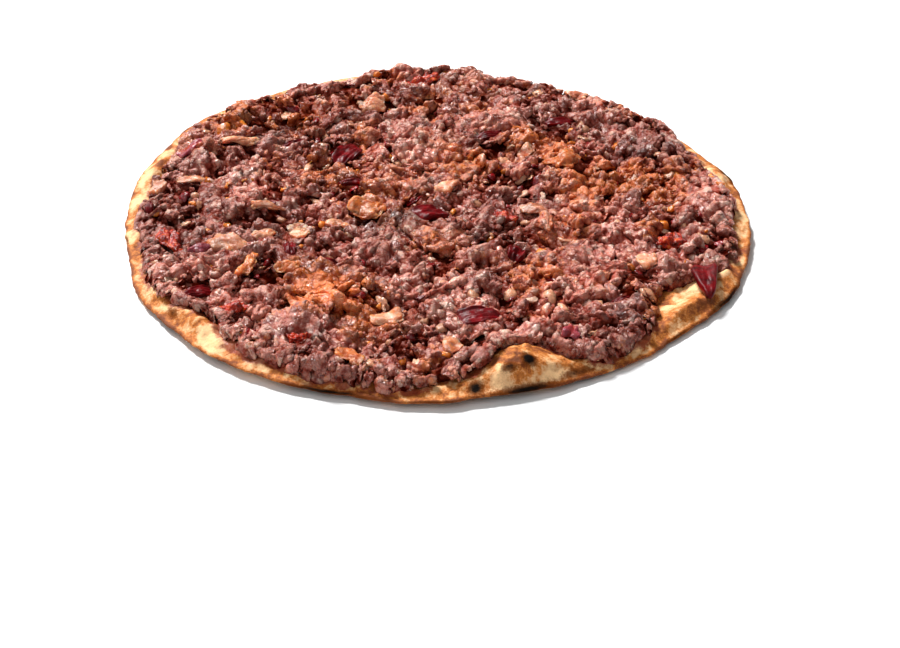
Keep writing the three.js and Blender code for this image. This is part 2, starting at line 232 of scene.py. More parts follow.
def centre_shift():
    """From the bread's own centre to the middle of its outline's box, which is the frame's origin."""
    azimuth = np.linspace(0, 2 * math.pi, OUTLINE_POINTS, endpoint=False)
    outline = bread_radius(azimuth) * np.array([np.cos(azimuth), np.sin(azimuth)])
    middle = (outline.min(1) + outline.max(1)) / 2
    return np.array([-middle[0], -middle[1], 0])


SHIFT = centre_shift()

# ---------------------------------------------------------------------------------------------------------
# Numbers for surfaces
# ---------------------------------------------------------------------------------------------------------

LATTICE = 32  # cells along each side of the block of random values that a noise repeats
JITTER = 0.86  # how far a scattered point strays in its cell, as a share of the cell
NOISE_CIRCLE = 60  # radius in mm of the circle on which noises of the azimuth alone are read


def soft_noise(points, size, seed):
    """Noise from -1 to 1: random values on a cubic lattice this wide in mm, blended by smoothsteps."""
    values = np.random.default_rng(seed).uniform(-1, 1, (LATTICE,) * 3)
    scaled = np.asarray(points, float) / size
    cell = np.floor(scaled).astype(int)
    share = smoothstep(scaled - cell)
    total = np.zeros(scaled.shape[:-1])
    for corner in np.ndindex(2, 2, 2):
        weight = np.prod(np.where(corner, share, 1 - share), axis=-1)
        i, j, k = np.moveaxis((cell + corner) % LATTICE, -1, 0)
        total += weight * values[i, j, k]
    return total


def rough_noise(points, size, seed, octaves=3):
    """The sum of soft noises, each half as large and half as strong as the one before."""
    return sum(soft_noise(points, size / 2**i, seed + i) / 2**i for i in range(octaves))


def lumps(points, size, seed, domed=0.0):
    """Lumps round points scattered one to each cell of a cubic lattice this wide in mm.

    Gives how far each place stands in from the crease between its two nearest points, from 0 on the crease to
    1, and a random number from 0 to 1 that is the nearest point's own. Domed is how much of the first is the
    height of a ball round the nearest point instead, which rounds the lump off.
    """
    jitter = np.random.default_rng(seed).uniform(0, 1, (LATTICE, LATTICE, LATTICE, 4))
    scaled = np.asarray(points, float) / size
    cell = np.floor(scaled - 0.5).astype(int)
    first = np.full(scaled.shape[:-1], 9.0)
    second = first.copy()
    own = np.zeros_like(first)
    for corner in np.ndindex(2, 2, 2):
        i, j, k = np.moveaxis((cell + corner) % LATTICE, -1, 0)
        found = jitter[i, j, k]
        place = cell + corner + 0.5 + JITTER * (found[..., :3] - 0.5)
        away = np.sqrt(((scaled - place) ** 2).sum(-1))
        nearer = away < first
        second = np.where(nearer, first, np.minimum(second, away))
        own = np.where(nearer, found[..., 3], own)
        first = np.minimum(first, away)
    crease = smoothstep((second - first) * 1.25)
    ball = np.clip(1.15 - 1.7 * first**2, 0, 1)
    return crease + domed * (ball - crease), own


def flat_points(x, y, z=0.0):
    """x, y and z as one array of points."""
    return np.stack(np.broadcast_arrays(x, y, z), axis=-1)


def rim_spot(azimuth):
    """Where to read a noise of the azimuth alone, so that it meets itself after a whole turn."""
    return flat_points(np.cos(azimuth), np.sin(azimuth)) * NOISE_CIRCLE


def capped_faces(rings, columns):
    """The triangles of a closed surface. Its points are a top pole, then rings, then a lower pole."""
    column = np.arange(columns)
    after = (column + 1) % columns
    start = 1 + columns * np.arange(rings)[:, None]
    here, beside = start + column, start + after
    pole = 1 + rings * columns
    a, b, c, d = here[:-1], beside[:-1], here[1:], beside[1:]
    top = np.stack([np.zeros_like(column), here[0], beside[0]], -1)
    bottom = np.stack([np.full_like(column, pole), beside[-1], here[-1]], -1)
    between = [np.stack([a, c, b], -1).reshape(-1, 3), np.stack([b, c, d], -1).reshape(-1, 3)]
    return np.concatenate([top, *between, bottom])


def disc_grid(side):
    """A square grid folded into a disc without a pole: rings of squares become rings of circles.

    The radius is the larger of |s| and |t|; the azimuth grows with the place along the square's side.
    """
    s, t = np.meshgrid(np.linspace(-1, 1, side), np.linspace(-1, 1, side), indexing="ij")
    radius = np.maximum(np.abs(s), np.abs(t))
    safe = np.where(radius > 0, radius, 1)
    azimuth = np.where(
        np.abs(s) >= np.abs(t),
        math.pi / 4 * (t / np.where(s == 0, safe, s)) + np.where(s < 0, math.pi, 0),
        math.pi / 2 - math.pi / 4 * (s / np.where(t == 0, safe, t)) + np.where(t < 0, math.pi, 0),
    )
    return radius, azimuth


def ball_directions(columns, rows):
    """Unit directions of a ball with its poles on Z: the top pole, rows of columns, and the lower pole."""
    polar = math.pi * (np.arange(1, rows) / rows)
    azimuth = np.linspace(0, 2 * math.pi, columns, endpoint=False)
    polar, azimuth = np.meshgrid(polar, azimuth, indexing="ij")
    around = flat_points(np.sin(polar) * np.cos(azimuth), np.sin(polar) * np.sin(azimuth), np.cos(polar))
    return np.concatenate([[(0, 0, 1)], around.reshape(-1, 3), [(0, 0, -1)]])


def turns_about(axis, angle):
    """Rotation matrices about one of the axes 0, 1 and 2, one for each angle."""
    first, second = (axis + 1) % 3, (axis + 2) % 3
    matrices = np.zeros((len(angle), 3, 3))
    matrices[:, axis, axis] = 1
    matrices[:, first, first] = matrices[:, second, second] = np.cos(angle)
    matrices[:, second, first] = np.sin(angle)
    matrices[:, first, second] = -np.sin(angle)
    return matrices


def random_turns(count, tilt, rng):
    """Rotation matrices: any turn about Z, after a tilt of about that many degrees in any direction."""
    turn = rng.uniform(0, 2 * math.pi, count)
    lean = np.radians(tilt) * rng.normal(size=count)
    towards = rng.uniform(0, 2 * math.pi, count)
    return turns_about(2, towards) @ turns_about(0, lean) @ turns_about(2, turn - towards)


# ---------------------------------------------------------------------------------------------------------
# Pieces and finishes
# ---------------------------------------------------------------------------------------------------------


def make_piece(name, points, faces, finish, slot, replaces=(), **attributes):
    """Makes a mesh in metres from a surface in mm, rides it on the body, and hides the CAD parts it replaces.
    """
    mesh = bpy.data.meshes.new(name)
    mesh.vertices.add(len(points))
    mesh.vertices.foreach_set("co", ((points + SHIFT) * MM).astype(np.float32).ravel())
    mesh.loops.add(faces.size)
    mesh.loops.foreach_set("vertex_index", faces.astype(np.int32).ravel())
    mesh.polygons.add(len(faces))
    mesh.polygons.foreach_set("loop_start", np.arange(0, faces.size, 3, dtype=np.int32))
    mesh.update(calc_edges=True)
    mesh.validate()
    mesh.shade_smooth()
    for key, values in attributes.items():
        layer = mesh.attributes.new(key, "FLOAT", "POINT")
        layer.data.foreach_set("value", np.asarray(values, np.float32).ravel())
    mesh.materials.append(finish)
    piece = bpy.data.objects.new(name, mesh)
    bpy.context.scene.collection.objects.link(piece)
    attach(piece, BODY)
    if replaces:
        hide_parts(*replaces)


class Wire:
    """One output of a shader node. Arithmetic on it adds Math nodes to its tree."""

    def __init__(self, finish, socket):
        self.finish = finish
        self.socket = socket

    def math(self, operation, *values):
        """The output of a Math node on these wires and numbers."""
        return self.finish.node("ShaderNodeMath", {"operation": operation}, dict(enumerate(values)))

    def __add__(self, other):
        return self.math("ADD", self, other)

    __radd__ = __add__

    def __sub__(self, other):
        return self.math("SUBTRACT", self, other)

    def __rsub__(self, other):
        return self.math("SUBTRACT", other, self)

    def __mul__(self, other):
        return self.math("MULTIPLY", self, other)

    __rmul__ = __mul__


class Finish:
    """A material under way: its node tree, its Principled shader, and what adds nodes to them."""

    def __init__(self, name, **constants):
        self.material = bpy.data.materials.new(name)
        self.material.use_nodes = True
        self.nodes = self.material.node_tree.nodes
        self.links = self.material.node_tree.links
        self.nodes.clear()
        self.shader = self.nodes.new("ShaderNodeBsdfPrincipled")
        self.output = self.nodes.new("ShaderNodeOutputMaterial")
        self.links.new(self.shader.outputs["BSDF"], self.output.inputs["Surface"])
        for key, value in constants.items():
            self.shader.inputs[self.socket_name(key)].default_value = value
        self.place = self.node("ShaderNodeTexCoord", output="Object")

    def node(self, kind, settings=None, inputs=None, output=0):
        """Adds a node: its settings first, then its sockets' values or links. Gives one of its outputs."""
        made = self.nodes.new(kind)
        for key, value in (settings or {}).items():
            if key == "stops":
                self.fill_ramp(made.color_ramp, value)
            else:
                setattr(made, key, value)
        for key, value in (inputs or {}).items():
            if isinstance(value, Wire):
                self.links.new(value.socket, made.inputs[key])
            else:
                made.inputs[key].default_value = value
        return Wire(self, made.outputs[output])

    @staticmethod
    def socket_name(key):
        """The shader socket's name for a name in lower case with underscores."""
        return key.replace("_", " ").title().replace("Ior", "IOR")

    @staticmethod
    def fill_ramp(ramp, stops):
        """Gives a colour ramp these positions and colours."""
        while len(ramp.elements) < len(stops):
            ramp.elements.new(1.0)
        for element, (position, colour) in zip(ramp.elements, stops):
            element.position = position
            element.color = (*colour[:3], 1.0)

    def noise(self, size, detail=3.0, roughness=0.55, stretch=None):
        """Noise from 0 to 1 whose lumps are about this size in mm. stretch scales it along X, Y and Z."""
        place = self.place
        if stretch:
            place = self.node("ShaderNodeMapping", None, {"Vector": place, "Scale": stretch})
        inputs = {"Vector": place, "Scale": 1 / (size * MM), "Detail": detail, "Roughness": roughness}
        return self.node("ShaderNodeTexNoise", None, inputs)

    def bent(self, size, amount):
        """The place moved by up to about this many mm, by a noise whose lumps are this many mm wide."""
        noise = self.noise(size, 2.0, 0.5)
        colour = Wire(self, noise.socket.node.outputs["Color"])
        inputs = {0: colour, 1: (2 * amount * MM,) * 3, 2: self.place}
        return self.node("ShaderNodeVectorMath", {"operation": "MULTIPLY_ADD"}, inputs)

    def cells(self, size, place=None):
        """The distance to the nearest of points scattered this many mm apart, and its random number."""
        inputs = {"Vector": place or self.place, "Scale": 1 / (size * MM)}
        distance = self.node("ShaderNodeTexVoronoi", None, inputs, "Distance")
        colour = Wire(self, distance.socket.node.outputs["Color"])
        return distance, self.node("ShaderNodeSeparateColor", None, {0: colour})

    def attribute(self, name):
        """A number that the mesh carries at each of its points."""
        return self.node("ShaderNodeAttribute", {"attribute_name": name}, None, "Fac")

    def step(self, value, low, high):
        """0 below low and 1 above high, with a smoothstep between."""
        inputs = {"Value": value, "From Min": low, "From Max": high}
        return self.node("ShaderNodeMapRange", {"interpolation_type": "SMOOTHSTEP"}, inputs)

    def ramp(self, value, stops):
        """The colour at a value between these stops, each a position and a colour."""
        return self.node("ShaderNodeValToRGB", {"stops": stops}, {0: value})

    def mix(self, share, first, second, blend="MIX"):
        """A colour: first where share is 0, second where it is 1."""

        def painted(value):
            """A wire as it is, or a colour with full alpha."""
            return value if isinstance(value, Wire) else (*value[:3], 1.0)

        settings = {"data_type": "RGBA", "blend_type": blend}
        return self.node("ShaderNodeMix", settings, {0: share, 6: painted(first), 7: painted(second)}, 2)

    def bump(self, height, depth):
        """A normal bent by a height from 0 to 1, which stands for this depth in mm."""
        return self.node("ShaderNodeBump", None, {"Height": height, "Distance": depth * MM})

    def matte_where_low(self, share, colour):
        """Shows a matte shader of this colour where share is 0 and the main shader where it is 1."""
        inputs = {"Base Color": colour, "Roughness": 1.0, "Specular IOR Level": 0.0}
        matte = self.node("ShaderNodeBsdfPrincipled", None, inputs)
        main = Wire(self, self.shader.outputs["BSDF"])
        mixed = self.node("ShaderNodeMixShader", None, {0: share, 1: matte, 2: main})
        self.links.new(mixed.socket, self.output.inputs["Surface"])

    def feed(self, **wires):
        """Links or sets the shader's sockets, named in lower case with underscores. Gives the material."""
        for key, value in wires.items():
            socket = self.shader.inputs[self.socket_name(key)]
            if isinstance(value, Wire):
                self.links.new(value.socket, socket)
            else:
                socket.default_value = value
        return self.material


def paint(red, green, blue):
    """A colour given as 0 to 255 display values, as the linear values that a shader takes."""
    values = np.array([red, green, blue]) / 255
    linear = np.where(values <= 0.04045, values / 12.92, ((values + 0.055) / 1.055) ** 2.4)
    return tuple(float(value) for value in linear)


def colour_property(name, description, red, green, blue):
    """A colour that can be changed, with its default as 0 to 255 display values."""
    default = paint(red, green, blue)
    return FloatVectorProperty(
        name=name, description=description, subtype="COLOR", size=3, min=0.0, max=1.0, default=default
    )


def size_property(name, description, millimetres):
    """A length that can be changed."""
    default = millimetres * MM
    return FloatProperty(
        name=name, description=description, subtype="DISTANCE", unit="LENGTH", min=0.0, default=default
    )


class LahmacunSizes(bpy.types.PropertyGroup):
    """The sizes and spacings of the pieces of mince"""

    patch_width: size_property("Patch width", "Usual width of a fused patch of mince", 28.0)
    patch_thickness: size_property("Patch thickness", "Usual thickness of a fused patch of mince", 9.0)
    patch_spacing: size_property("Patch spacing", "Distance between the patches' places", 21.6)
    clump_width: size_property("Clump width", "Usual width of a clump of mince", 9.0)
    clump_spacing: size_property("Clump spacing", "Distance between the clumps' places", 13.6)
    crumb_width: size_property("Crumb width", "Usual width of a crumb of mince", 3.2)
    crumb_spacing: size_property("Crumb spacing", "Distance between the crumbs' places", 12.0)
    grain_width: size_property("Grain width", "Usual width of the smallest crumbs", 2.2)
    grain_spacing: size_property("Grain spacing", "Distance between the smallest crumbs' places", 10.5)
    lump_width: size_property("Lump width", "Usual width of the lumps that the mince is made of", 3.7)


class LahmacunColours(bpy.types.PropertyGroup):
    """The colours that the finishes are mixed from"""

    dough: colour_property("Dough", "Pale baked dough", 230, 182, 132)
    golden: colour_property("Golden dough", "Dough that has taken colour", 200, 118, 48)
    toasted: colour_property("Toasted dough", "Brown places of the rim", 132, 66, 24)
    charred: colour_property("Charred dough", "Burnt places of the rim", 18, 11, 8)
    juice_stain: colour_property("Juice stain", "Dough that the meat's juices have soaked", 140, 54, 34)
    mauve_meat: colour_property("Mauve meat", "Plain cooked mince", 184, 113, 98)
    pink_meat: colour_property("Pink meat", "Mince stained by red onion and juice", 204, 120, 98)
    browned_meat: colour_property("Browned meat", "Mince that the oven has browned", 220, 114, 44)
    # Painted shade: the dark red that the creases and low places of the mince are painted, for the shade that
    # falls there.
    crevice_shade: colour_property("Crevice", "The dark, wet depths of the mince", 60, 7, 1)
    # Also the colour that the tops of the mince and onion are painted towards, as a painted highlight.
    fat: colour_property("Fat", "Pale bits of fat", 240, 200, 182)
    pepper: colour_property("Pepper", "Roasted red pepper", 110, 3, 10)
    tomato: colour_property("Tomato", "Cooked tomato", 200, 44, 10)
    onion: colour_property("Onion", "Cooked onion", 202, 142, 110)
    red_onion: colour_property("Red onion", "Cooked red onion", 150, 70, 84)
    golden_bits: colour_property("Golden bits", "Bits of yellow pepper and oily onion", 214, 116, 36)
    # Also mixed into the painted shade of the mince's creases and of the onions' low parts.
    juices: colour_property("Juices", "The orange red juices", 134, 28, 6)


def mixed(first, second, share):
    """The first colour with this share of the second in it."""
    return tuple((1 - share) * a + share * b for a, b in zip(first[:3], second[:3]))


def shade(colour, factor):
    """The colour made darker, or lighter over 1, and held below white."""
    return tuple(min(0.95, channel * factor) for channel in colour[:3])


# ---------------------------------------------------------------------------------------------------------
# The bread
# ---------------------------------------------------------------------------------------------------------

BREAD_COLUMNS = 900
RIM_ROWS = 42
MIDDLE_ROWS = 9
UNDERSIDE_ROWS = 22
RIM_BAND = 27  # the width of the band that can show past the meat, which gets the fine rows
EDGE_ROUND = 1.5  # how far in the edge's round profile reaches
EDGE_LEVEL = 0.45  # where the edge closes, from 0 at the underside to 1 at the top
PUFF_WIDTH = 15.0
PUFF_HEIGHT = 2.2
SMALL_PUFF_WIDTH = 5.5
SMALL_PUFF_HEIGHT = 0.8
PUFF_SINK = 1.4  # how far below the plain top the creases between puffs lie
PIMPLE_HEIGHT = 0.9
WRINKLE_HEIGHT = 0.3
UNDERSIDE_BUMPS = 0.25
MARK_SPREAD = math.radians(9)  # half width of the smeared place and of the clean ones
SMEARED_PLACE = 240  # azimuth where the juices have run out over the rim

# Charred places: azimuth, distance in from the edge, size along the rim, size across it, how black.
CHAR_SPOTS = (
    (288.5, 9.0, 3.6, 3.3, 1.3),
    (284.5, 7.5, 3.4, 2.6, 0.95),
    (278.0, 4.0, 3.4, 3.0, 1.15),
    (287.0, 0.5, 14.0, 2.1, 1.0),
    (297.0, 3.0, 7.0, 2.4, 0.8),
    (270.0, 0.2, 12.0, 0.8, 0.6),
    (253.0, 0.2, 20.0, 1.3, 1.0),
    (215.5, 4.5, 4.0, 2.4, 0.75),
    (334.0, 0.2, 15.0, 1.5, 1.0),
    (319.0, 0.2, 9.0, 0.9, 0.8),
    (15.0, 0.6, 9.0, 1.8, 0.9),
    (186.0, 0.2, 6.0, 0.9, 0.7),
    (66.0, 1.0, 9.0, 1.8, 0.6),
    (104.0, 0.5, 9.0, 1.2, 0.5),
    (145.0, 0.4, 9.0, 1.2, 0.5),
)
# Patches of the dough that are golden or, where negative, pale and floury: azimuth, distance in, size along,
# size across, strength.
BAKED_PLACES = (
    (221, 7, 10, 6, 0.1),
    (213, 8, 7, 6, -0.15),
    (227, 8, 6, 6, -0.9),
    (200, 4, 10, 4, -0.3),
    (262, 4, 14, 5, 0.3),
    (281, 15, 6, 4, 0.3),
    (292, 12, 9, 4, -0.35),
    (283, 9, 6, 3, -0.25),
    (289, 19, 13, 8, -0.05),
    (286, 10, 8, 4, 0.3),
    (293, 5, 5, 4, -0.2),
    (122, 5, 40, 8, 0.06),
    (165, 4, 24, 6, -0.1),
    (333, 15, 9, 8, -0.4),
    (336, 22, 5, 3, 0.5),
    (330, 4, 10, 3, 0.4),
    (341, 5, 7, 5, 0.3),
    (15, 7, 7, 3, 0.5),
    (15, 10, 9, 4, -0.5),
    (0, 3, 12, 4, -0.4),
    (120, 5, 24, 6, -0.15),
    (172, 4, 16, 5, -0.25),
)
# Azimuths of the bare places that the meat's juices have hardly stained.
CLEAN_PLACES = (289, 330)


def dough_puffs(spot):
    """The dough's large and small lumps, each with its level, at places that a soft noise has moved."""
    moved = spot + 3.0 * flat_points(rough_noise(spot, 9, 21), rough_noise(spot, 9, 23))
    return (*lumps(moved, PUFF_WIDTH, 27), *lumps(moved, SMALL_PUFF_WIDTH, 29))


def dough_top(x, y):
    """The bread's top plus puffs that meet in creases, pimples and wrinkles, all less towards the edge.

    The puffs are lumps round scattered points, and the pimples are the peaks of a soft noise.
    """
    spot = flat_points(x, y)
    inwards = bread_radius(np.arctan2(y, x)) - np.hypot(x, y)
    puffed, level, small, small_level = dough_puffs(spot)
    puffs = PUFF_HEIGHT * puffed * (0.35 + level) - PUFF_SINK + SMALL_PUFF_HEIGHT * small * small_level
    pimples = PIMPLE_HEIGHT * smoothstep((soft_noise(spot, 5.0, 31) - 0.3) / 0.5)
    wrinkles = WRINKLE_HEIGHT * rough_noise(spot, 3.5, 24)
    relief = puffs * smoothstep(1.5 - inwards / 22) + pimples + wrinkles
    return bread_top(x, y) + smoothstep(inwards / 6) * relief


def bread_surface():
    """Rows of points from the middle of the top out to the edge, round it, and back to the middle below.

    Each row keeps one distance in from the outline. At the edge, top and underside close on a height between
    them by a quarter circle. The underside has low bumps from a soft noise.
    """
    azimuth = np.linspace(0, 2 * math.pi, BREAD_COLUMNS, endpoint=False)
    around = rim_spot(azimuth)
    radius = bread_radius(azimuth) + 0.5 * soft_noise(around, 2.4, 11) + 0.25 * soft_noise(around, 0.9, 12)
    fine = RIM_BAND * (np.linspace(1, 0, RIM_ROWS) ** 1.35)
    coarse = np.linspace(MEAN_RADIUS - 1, RIM_BAND, MIDDLE_ROWS, endpoint=False)
    below = MEAN_RADIUS * np.linspace(0, 1, UNDERSIDE_ROWS + 1)[1:-1] ** 1.5
    inwards = np.concatenate([coarse, fine, below])
    upper = np.arange(len(inwards)) < len(coarse) + len(fine)
    share = np.clip(1 - inwards[:, None] / radius, 0.002, 1)
    x, y = radius * share * np.cos(azimuth), radius * share * np.sin(azimuth)
    depth = np.broadcast_to(inwards[:, None], x.shape)

    nominal = bread_radius(azimuth) * share
    level_x, level_y = nominal * np.cos(azimuth), nominal * np.sin(azimuth)
    spot = flat_points(level_x, level_y)
    top, bottom = dough_top(level_x, level_y), bread_underside(level_x, level_y)
    bumps = smoothstep(depth / 4) * (1 + soft_noise(spot, 6.0, 41)) * smoothstep((depth - 2) / 6)
    bottom = bottom + UNDERSIDE_BUMPS * bumps
    middle = EDGE_LEVEL * top + (1 - EDGE_LEVEL) * bottom
    open_share = np.sqrt(1 - (1 - np.clip(depth / EDGE_ROUND, 0, 1)) ** 2)
    height = middle + (np.where(upper[:, None], top, bottom) - middle) * open_share

    rows = flat_points(x, y, height).reshape(-1, 3)
    apex = np.array([[0, 0, float(bread_top(1e-6, 0.0))]])
    base = np.array([[0, 0, 0.0]])
    points = np.concatenate([apex, rows, base])
    faces = capped_faces(len(inwards), BREAD_COLUMNS)
    depth_at = np.concatenate([[MEAN_RADIUS], depth.ravel(), [MEAN_RADIUS]])
    above = np.concatenate([[1.0], np.repeat(upper, BREAD_COLUMNS).astype(float), [0.0]])
    return points, faces, depth_at, above


def bell_at(points, depth, azimuth, inwards, along, across):
    """A bell curve round a place of the rim: 1 there, less with the distance along the rim and across it.

    The distance across counts how far in a point is and how high, so that spots on steep sides are round too.
    """
    out = bread_radius(math.radians(azimuth)) - inwards
    height = bread_top(*placed(azimuth, out))
    aside = turn_to(np.arctan2(points[:, 1], points[:, 0]), azimuth) * MEAN_RADIUS
    aslant = (depth - inwards) ** 2 + (points[:, 2] - height) ** 2
    return np.exp(-((aside / along) ** 2) - aslant / across**2)


def bread_marks(points, depth, above):
    """The dough's attributes char, bake and juice, from 0 to about 1: bell curves at set places, plus noise.

    Juice fades with the distance past the meat's edge. The rim's edge and its blisters are more baked. Bake
    is higher in the creases between the rim's puffs and lower on their tops, which is painted shade and
    painted light.
    """
    x, y = points[:, 0], points[:, 1]
    azimuth = np.arctan2(y, x)
    char = sum(black * bell_at(points, depth, *place) for *place, black in CHAR_SPOTS)
    lower_lip = (1 - above) * bell(depth / 7)
    char = char + lower_lip * (0.5 + 0.6 * soft_noise(points, 9, 51))
    bake = 0.27 + 0.3 * rough_noise(points, 9, 53) * (0.2 + 0.8 * above)
    bake = bake + 0.015 * blister_height(azimuth, np.hypot(x, y))
    bake = bake + 0.35 * bell(depth / 1.2) - 0.08 * (1 - above)
    puffed, _, small, small_level = dough_puffs(flat_points(x, y))
    # Painted shade and light: the creases between the puffs get more bake, so they show darker, and the
    # puffs' tops less, so they show paler.
    bake = bake + above * (0.4 * (0.4 - puffed) + 0.34 * (0.4 - small) - 0.16 * (small_level - 0.5))
    bake = bake + sum(more * bell_at(points, depth, *place) for *place, more in BAKED_PLACES)
    beyond = np.hypot(x, y) - meat_radius(azimuth)
    juice = np.exp(-np.clip(beyond, 0, None) / 3.2) * (0.8 + 0.6 * rough_noise(points, 5, 57)) * above
    smear = bell(turn_to(azimuth, SMEARED_PLACE) / MARK_SPREAD) * smoothstep((depth - 3.5) / 3) * above
    clean = sum(bell(turn_to(azimuth, at) / MARK_SPREAD) for at in CLEAN_PLACES)
    juice = np.clip(juice * (1 - 0.75 * clean) + 0.7 * smear, 0, 1)
    return {"char": char, "bake": bake, "juice": juice, "above": above}


def dough_finish(colours):
    """Cream dough, golden and toasted in patches, darker in the creases between puffs as painted shade, matte
    black where charred, red where juices soaked it.

    The underside is spotted with brown.
    """
    finish = Finish(
        "dough",
        subsurface_weight=0.08,
        subsurface_scale=0.003,
        subsurface_radius=(1.0, 0.55, 0.3),
        specular_ior_level=0.25,
    )
    char, bake, juice, above = (finish.attribute(name) for name in ("char", "bake", "juice", "above"))
    blotch = finish.noise(2.6, 4, 0.65)
    speck = finish.noise(0.8, 3, 0.65)
    baked = bake + (blotch - 0.5) * 1.0 + (speck - 0.5) * 0.45
    colour = finish.ramp(
        baked,
        [
            (0.0, shade(colours.dough, 1.25)),
            (0.25, colours.dough),
            (0.52, colours.golden),
            (0.80, colours.toasted),
            (1.0, shade(colours.toasted, 0.6)),
        ],
    )
    freckles = finish.step(speck + bake * 0.3, 0.74, 0.86)
    colour = finish.mix(freckles * 0.6, colour, colours.toasted)
    spotted = finish.step(finish.noise(10.0, 3, 0.6) + (speck - 0.5) * 0.25, 0.50, 0.62) * (1 - above)
    colour = finish.mix(spotted * 0.8, colour, shade(colours.toasted, 0.75))
    soaked = finish.step(juice + (blotch - 0.5) * 0.9 + (speck - 0.5) * 0.3, 0.35, 0.8)
    colour = finish.mix(soaked * 0.85, colour, colours.juice_stain)
    burnt = char + (speck - 0.5) * 0.55 + (blotch - 0.5) * 0.35
    colour = finish.mix(finish.step(burnt, 0.04, 0.46) * 0.85, colour, shade(colours.toasted, 0.6))
    colour = finish.mix(finish.step(burnt, 0.38, 0.95), colour, colours.charred)
    relief = finish.noise(1.2, 5, 0.65) * 0.8 + finish.noise(4.0, 2, 0.5)
    finish.matte_where_low(1 - finish.step(burnt, 0.1, 0.5) * 0.85, colour)
    return finish.feed(
        base_color=colour,
        roughness=0.68 - soaked * 0.36,
        normal=finish.bump(relief, 0.6),
    )


# ---------------------------------------------------------------------------------------------------------
# The meat
# ---------------------------------------------------------------------------------------------------------

# Points along each side of the pieces' square grids.
CORE_SIDE = 300
PATCH_SIDE = 46
CLUMP_SIDE = 20
FRINGE_SIDE = 13
CRUMB_SIDE = 7
GRAIN_SIDE = 5
CORE_DEPTH = 1.6  # how far the core's top lies below the heap's outline
CORE_MARGIN = 3.5  # how far in from the meat's edge the core ends
CORE_SUNK = 0.8  # how far the core's foot lies in the dough
FRINGE_CLUMPS = 290
CLEAR_SHARE = 0.8  # the share of a topping's half width within which the mince keeps below its middle
CLEAR_SLOPE = 1.6  # how steeply the mince may rise round a topping
# How far in from the meat's edge the pieces' places stay.
PATCH_MARGIN = 8.5
CLUMP_MARGIN = 2.0
CRUMB_MARGIN = 1.5
# The usual tilt of each kind of piece, in degrees.
PATCH_TILT = 4
CLUMP_TILT = 22
FRINGE_TILT = 20
CRUMB_TILT = 45
BROWNED_SHARE = 0.3  # of the mince's pieces, the share that has the browned look
BIG_LUMP = 11  # width of the biggest lumps that the patches are made of
COARSE_LUMP = 2.3  # width of a coarse lump, as a share of a fine one's
HIGH_SHARE = 0.85  # the share of a cap's points that lie below the height it is laid by
HEAP_REACH = 150  # past every place of the heap
LEAST_ABOVE_DOUGH = 0.35
CAP_ANGLE = math.radians(118)  # from a cap's top to where its grid ends below
MOST_TRIANGLES = 199_000
NODULE = 2.7  # usual width in mm of the finest nodules, which are relief on the lumps


def fringe(side):
    """The points along the edge of a square grid, in order."""
    index = np.arange(side * side).reshape(side, side)
    return np.concatenate([index[:-1, 0], index[-1, :-1], index[:0:-1, -1], index[0, :0:-1]])


def grid_faces(side):
    """Two triangles for each square of a grid."""
    index = np.arange(side * side).reshape(side, side)
    a, b, c, d = index[:-1, :-1], index[1:, :-1], index[:-1, 1:], index[1:, 1:]
    return np.concatenate([np.stack([a, b, d], -1).reshape(-1, 3), np.stack([a, d, c], -1).reshape(-1, 3)])


def core_surface():
    """The heap's top sunk by the core's depth, plus coarse and fine lumps, closed by a wall and a base."""
    radius, azimuth = disc_grid(CORE_SIDE)
    reach = meat_radius(azimuth) - CORE_MARGIN + 1.2 * rough_noise(rim_spot(azimuth), 3.4, 61, 2)
    x, y = reach * radius * np.cos(azimuth), reach * radius * np.sin(azimuth)
    spot = flat_points(x, y)
    warped = spot + 1.3 * flat_points(rough_noise(spot, 4.5, 63), rough_noise(spot, 4.5, 67))
    coarse, own = lumps(warped, 7.5, 73)
    fine, _ = lumps(warped, 2.2, 71)
    inwards = reach * (1 - radius)
    relief = (1.7 * coarse + 2.0 * (own - 0.5) + 0.9 * fine - 0.9) * smoothstep(inwards / 5)
    sunk = np.minimum(CORE_DEPTH * smoothstep(inwards / 9), meat_thickness(x, y) - 0.5)
    height = np.maximum(meat_top(x, y) - sunk + relief, dough_top(x, y) + 0.3)
    points = flat_points(x, y, height).reshape(-1, 3)
    rim = fringe(CORE_SIDE)
    low = len(points) + np.arange(len(rim))
    foot = points[rim] * (1, 1, 0) + flat_points(0, 0, bread_top(*points[rim, :2].T) - CORE_SUNK)
    middle = np.array([[0, 0, CRUMB_THICKNESS - CORE_SUNK]])
    after, low_after = np.roll(rim, -1), np.roll(low, -1)
    wall = np.concatenate([np.stack([rim, low, after], -1), np.stack([after, low, low_after], -1)])
    under = np.stack([low_after, low, np.full_like(low, len(points) + len(low))], -1)
    # rise is low in the creases between lumps; the finish paints shade where it is low.
    rise = np.concatenate([(0.5 * coarse + 0.5 * fine).ravel(), np.full(len(rim) + 1, 0.4)])
    faces = np.concatenate([grid_faces(CORE_SIDE), wall, under])
    return np.concatenate([points, foot, middle]), faces, rise


